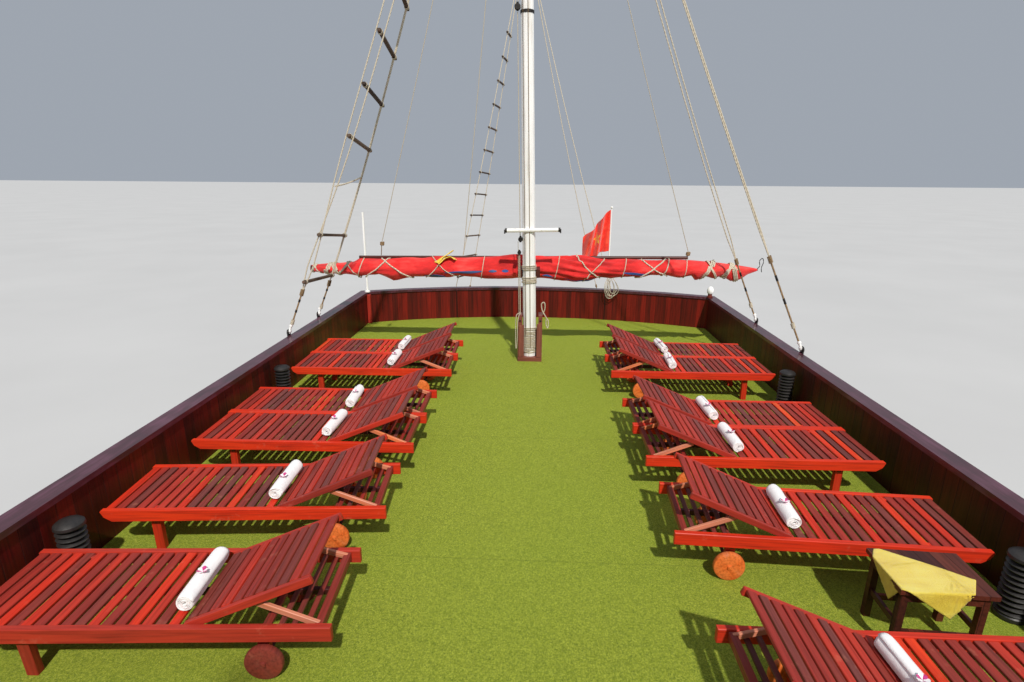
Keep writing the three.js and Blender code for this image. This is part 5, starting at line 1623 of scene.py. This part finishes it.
def dress_door(body, left, right, y, face, lever):
    """Stiles, rails, raised panels, a light and a handle on a door's outer side. lever:
    the side of the handle."""
    boards, light = Bench(85), Bench(86)
    middle, half = (left + right) / 2, (right - left) / 2
    door = Wall(boards, (middle, y), (0, face))
    Wall(light, (middle, y), (0, face)).pane(half - 0.12, 1.92, 2.66, 0.004)
    for side in (-1, 1):
        door.upright(side * (half - 0.085), 0.92, 2.76, 0.08, 0.010, 0.30)
    for z in (0.98, 1.34, 1.86, 2.72):
        door.level(half - 0.125, z, 0.08, 0.010, 0.30)
    for z, high in ((1.16, 0.20), (1.60, 0.36)):
        door.level(half - 0.17, z, high, 0.008, 0.62)
    door.upright(0, 1.92, 2.66, 0.024, 0.008, 0.30, 0.010)
    boards.make(body + "_boards", "trim_varnish", body=body)
    light.finish = 1
    x = middle + lever * (half - 0.06)
    light.turned([(0.022, 0), (0.022, 0.006), (0.008, 0.008), (0.008, 0.040), (0.004, 0.042)], (x, y, 1.80),
                 (0, face, 0), sides=14)
    grip_y = y + face * 0.036
    light.rod([(x + 0.01 * lever, grip_y, 1.80), (x - 0.09 * lever, grip_y, 1.80)], 0.007)
    light.make(body + "_light", "dark_glass cast_bronze", "glass", body)


dress_door("front_port_door", -0.694, -0.006, HOUSE["front"], 1, 1)
dress_door("front_starboard_door", 0.006, 0.694, HOUSE["front"], 1, -1)
dress_door("back_door", -0.694, -0.006, HOUSE["back"], -1, -1)

# %% Balustrade of the poop and posts of the gallery
BALUSTER = [(0.020, 0), (0.020, 0.08), (0.011, 0.12), (0.020, 0.26), (0.022, 0.34), (0.011, 0.52),
            (0.018, 0.60), (0.018, 0.71)]
RAIL_LINES = [((-1.30, -7.62), (-3.23, -7.62)), ((1.30, -7.62), (-1.30, -7.62)),
              ((-3.23, -7.62), (-3.23, -13.43)), ((-3.23, -13.43), (1.0, -13.43)),
              ((1.9, -13.43), (3.23, -13.43)), ((3.23, -13.43), (3.23, -7.62)), ((3.23, -7.62), (2.5, -7.62))]
bench = Bench(87)
for (x0, y0), (x1, y1) in RAIL_LINES:
    count = round(math.hypot(x1 - x0, y1 - y0) / 0.15)
    for t in (np.arange(count) + 0.5) / count:
        bench.turned(BALUSTER, (x0 + (x1 - x0) * t, y0 + (y1 - y0) * t, 4.235),
                     tone=bench.chance.uniform(0.3, 0.5), sides=8)
for x in (-2.98, 2.98):
    for i in range(8):
        y = -9.3 + i * 12.2 / 7
        for z in (0.90, 2.58):
            bench.block((x - 0.056, y - 0.056, z), (x + 0.056, y + 0.056, z + 0.06), 0.45)
bench.make("balusters", "trim_varnish")

# %% [markdown]
# Gear on deck: bitts, rope coils, turns of rope on the windlass, bands and lines on the
# other two masts, a hub and a throttle at the helm, and four life rings on the poop rail.
# What turns or swings rides on its own body.

# %% Gear on deck
POOP_DECK = 4.10
BITT = [(0.07, -0.02), (0.07, 0.02), (0.05, 0.04), (0.05, 0.30), (0.07, 0.32), (0.07, 0.35), (0.02, 0.37)]
COILS = [(-0.95, 7.6, hull(7.6, "deck"), 0.24), (0.85, 6.6, hull(6.6, "deck"), 0.20),
         (1.3, -14.2, hull(-14.2, "deck"), 0.22), (-2.75, -7.95, POOP_DECK, 0.18),
         (2.7, -13.0, POOP_DECK, 0.20)]
COIL_LAYERS, COIL_TURN, COIL_LAYER = 3, 24, 96
# The other masts: foot, height, radius at foot and head, lean
OTHER_MASTS = [((-0.18, 9.3, 1.38), 10.45, 0.105, 0.070, LEAN),
               ((0.0, -11.4, 4.16), 6.50, 0.085, 0.060, 0.0)]
HELM = (0, -8.80, 4.88)

iron, coils = Bench(91), Bench(93)
for y in (8.4, -14.0, 4.6):
    for side in (-1, 1):
        deck = hull(y, "deck")
        x = side * (hull_half(y, deck) - 0.32)
        for step in (-0.16, 0.16):
            iron.turned(BITT, (x, y + step, deck), sides=20)
        iron.block((x - 0.10, y - 0.28, deck - 0.01), (x + 0.10, y + 0.28, deck + 0.02))
for x, y, deck, size in COILS:
    path = []
    for k in range(COIL_LAYERS * COIL_LAYER):
        radius, turn = size - 0.02 * (k // COIL_LAYER), math.tau * k / COIL_TURN
        path.append((x + radius * math.cos(turn) * 1.08, y + radius * math.sin(turn),
                     deck + 0.016 + 0.025 * (k % COIL_LAYER) / COIL_TURN))
    coils.rope(path, 0.014)
for foot, high, low, head, lean in OTHER_MASTS:
    iron.at = coils.at = Matrix.Translation(foot) @ Matrix.Rotation(-lean, 4, "Y")
    for z in (0.40, 1.2, high * 0.5, high - 1.1, high - 0.35):
        wide = low + (head - low) * z / high
        band = [(-0.004, -0.025), (0.009, -0.022), (0.009, 0.022), (-0.004, 0.025)]
        iron.turned([(wide + out, up) for out, up in band], (0, 0, z), sides=24)
    for side in (-1, 1):
        coils.rope([(side * (low + 0.03), 0.02, 0.7), (side * (low + 0.02), 0.02, high * 0.5),
                    (side * (head + 0.02), 0.02, high - 0.45)], 0.007)
        coils.rope(turns_round((side * (low + 0.035), 0.02, 0.72), (0, 0, 1), 0.02, 0.008, 5, 0.16), 0.007)
        iron.block((side * low - 0.02, -0.03, 0.68), (side * (low + 0.07) + 0.02, 0.03, 0.71))
    coils.rope(turns_round((0, 0, 0.30), (0, 0, 1), low, 0.010, 5, 0.12), 0.010)
iron.at = Matrix.Identity(4)
iron.block((0.24, -8.45, 4.86), (0.33, -8.35, 5.02))
for step in (-0.02, 0.02):
    x, y = 0.285 + step, -8.44 + step
    iron.rod([(x, -8.40, 5.0), (x, y, 5.12)], 0.007)
    iron.turned([(0.004, -0.014), (0.014, 0), (0.004, 0.014)], (x, y, 5.13), sides=10)
iron.make("deck_iron", "black_iron", "iron")
coils.make("deck_rope", "pale_rope", "rope")

bench = Bench(94)
bench.rope(turns_round((0, 10.2, hull(10.2, "deck") + 0.42), (1, 0, 0), 0.130, 0.014, 14, 0.42), 0.014)
bench.make("windlass_rope", "brown_rope", "rope", "windlass")

bench = Bench(95)
bench.turned([(0.085, 0), (0.085, 0.012), (0.045, 0.022), (0.040, 0.045), (0.012, 0.055)], HELM, (0, -1, 0))
for k in range(16):
    turn = math.tau * (k + 0.5) / 16
    bench.turned([(0.010, 0), (0.010, 0.004), (0.003, 0.006)],
                 (0.36 * math.cos(turn), -8.786, HELM[Z] + 0.36 * math.sin(turn)), (0, -1, 0), sides=8)
bench.make("helm_hub", "cast_bronze", "bronze", "helm")

for body, x, y, z in (("fore_sail", 0.2273, 5.72, 2.38), ("mizzen_sail", 0.43, -14.62, 6.35)):
    bench = Bench(96)
    for k in range(4):
        low, wide = z - 0.34 - 0.03 * (k % 2), 0.05 + 0.012 * k
        loop = [(0, 0, z + 0.09), (0.115, -wide * 0.5, z), (0.10, -wide, low + 0.1),
                (0.07, -wide * 0.6, low), (0.07, wide * 0.6, low + 0.01), (0.10, wide, low + 0.12),
                (0.12, wide * 0.5, z), (0, 0, z + 0.085)]
        bench.rope([(x + a, y + b + 0.01 * k, c) for a, b, c in smooth_path(loop, 5)], 0.007)
    bench.make(body + "_sheet_coil", "pale_rope", "rope", body)

# %% Life rings
RING_RADIUS, RING_Z = 0.29, 4.60
bench = Bench(97)
for y in (-9.4, -11.9):
    for x in (-3.33, 3.33):
        for k in range(8):
            bench.finish = k % 2
            wide, thick = ((0.25, 0.050), (math.pi / 4 - 0.25, 0.053))[k % 2]
            turns = math.pi / 4 * k + np.linspace(-wide, wide, 9)
            arc = [(x, y + RING_RADIUS * math.cos(t), RING_Z + RING_RADIUS * math.sin(t)) for t in turns]
            bench.rod(arc, thick, sides=14)
bench.make("life_rings", "ring_orange white_paint", "white_paint")
print("gear on deck")

# %% [markdown]
# Now the CAD nodes take their finishes. Boarded walls get boards that run the way they
# run on the ship: upright on the front bulwark and the house, lengthwise on the decks.

# %% Finishes of the CAD nodes
REPAINTED = {
    "turf_carpet": "turf", "cap_varnish": "cap_rail", "bulwark_boards": "bulwark_front",
    # The starboard bulwark takes the darker boards, whose colour carries painted shade.
    "bulwark_lengths": "bulwark_port", "painted_shade_lengths": "bulwark_starboard",
    "hull_planks": "hull hull_bulwark",
    "white_paint": "main_mast fore_mast mizzen_mast flagstaff",
    "house_boards": "deckhouse_port deckhouse_starboard poop_walls",
    "house_end_boards": "deckhouse_front deckhouse_back door_front_port door_front_starboard door_back",
    "joinery": "gallery_port gallery_starboard poop_rail_port poop_rail_starboard stair_poop stern_ladder "
               "helm_stand helm_wheel hatch_coaming windlass_frame",
    "cheek_boards": "main_tabernacle", "dark_joinery": "side_table rudder",
    "cross_spars": "main_boom main_yard", "long_spars": "fore_boom mizzen_boom",
    "deck_planks": "sundeck poop_deck hatch_lid", "red_canvas": "main_sail fore_sail mizzen_sail ensign",
    "pale_rope": "main_stays fore_stays mizzen_stays",
    "dark_glass": "window_glass_port window_glass_starboard",
    "black_iron": "windlass_drum anchor_port anchor_starboard", "cast_bronze": "propeller",
}
left_over = set(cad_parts)
for word, nodes in REPAINTED.items():
    for node in nodes.split():
        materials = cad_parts[node].data.materials
        materials.clear()
        materials.append(finishes[word])
        left_over.discard(node)
left_over = sorted(node for node in left_over if not node.startswith("lounger"))
print("CAD nodes repainted, left as loaded:", left_over)

# %% [markdown]
# The ship floats, so the floor is the still level of the water, a plain pale sheet. It
# isn't part of the ship.

# %% Floor at the waterline
FLOOR_HALF = 900.0
finish = Finish("pale_floor")
patch = finish.cloud(finish.where, 0.15)
finish.lay(Base_Color=finish.blend(patch.band(0.3, 0.7), grey(0.56), grey(0.60)), Roughness=0.6)
corners = [(-FLOOR_HALF, -FLOOR_HALF, 0), (FLOOR_HALF, -FLOOR_HALF, 0), (FLOOR_HALF, FLOOR_HALF, 0),
           (-FLOOR_HALF, FLOOR_HALF, 0)]
floor = new_piece("floor", corners, [(0, 1, 2, 3)], "pale_floor")
print("floor", 2 * FLOOR_HALF, "m square")
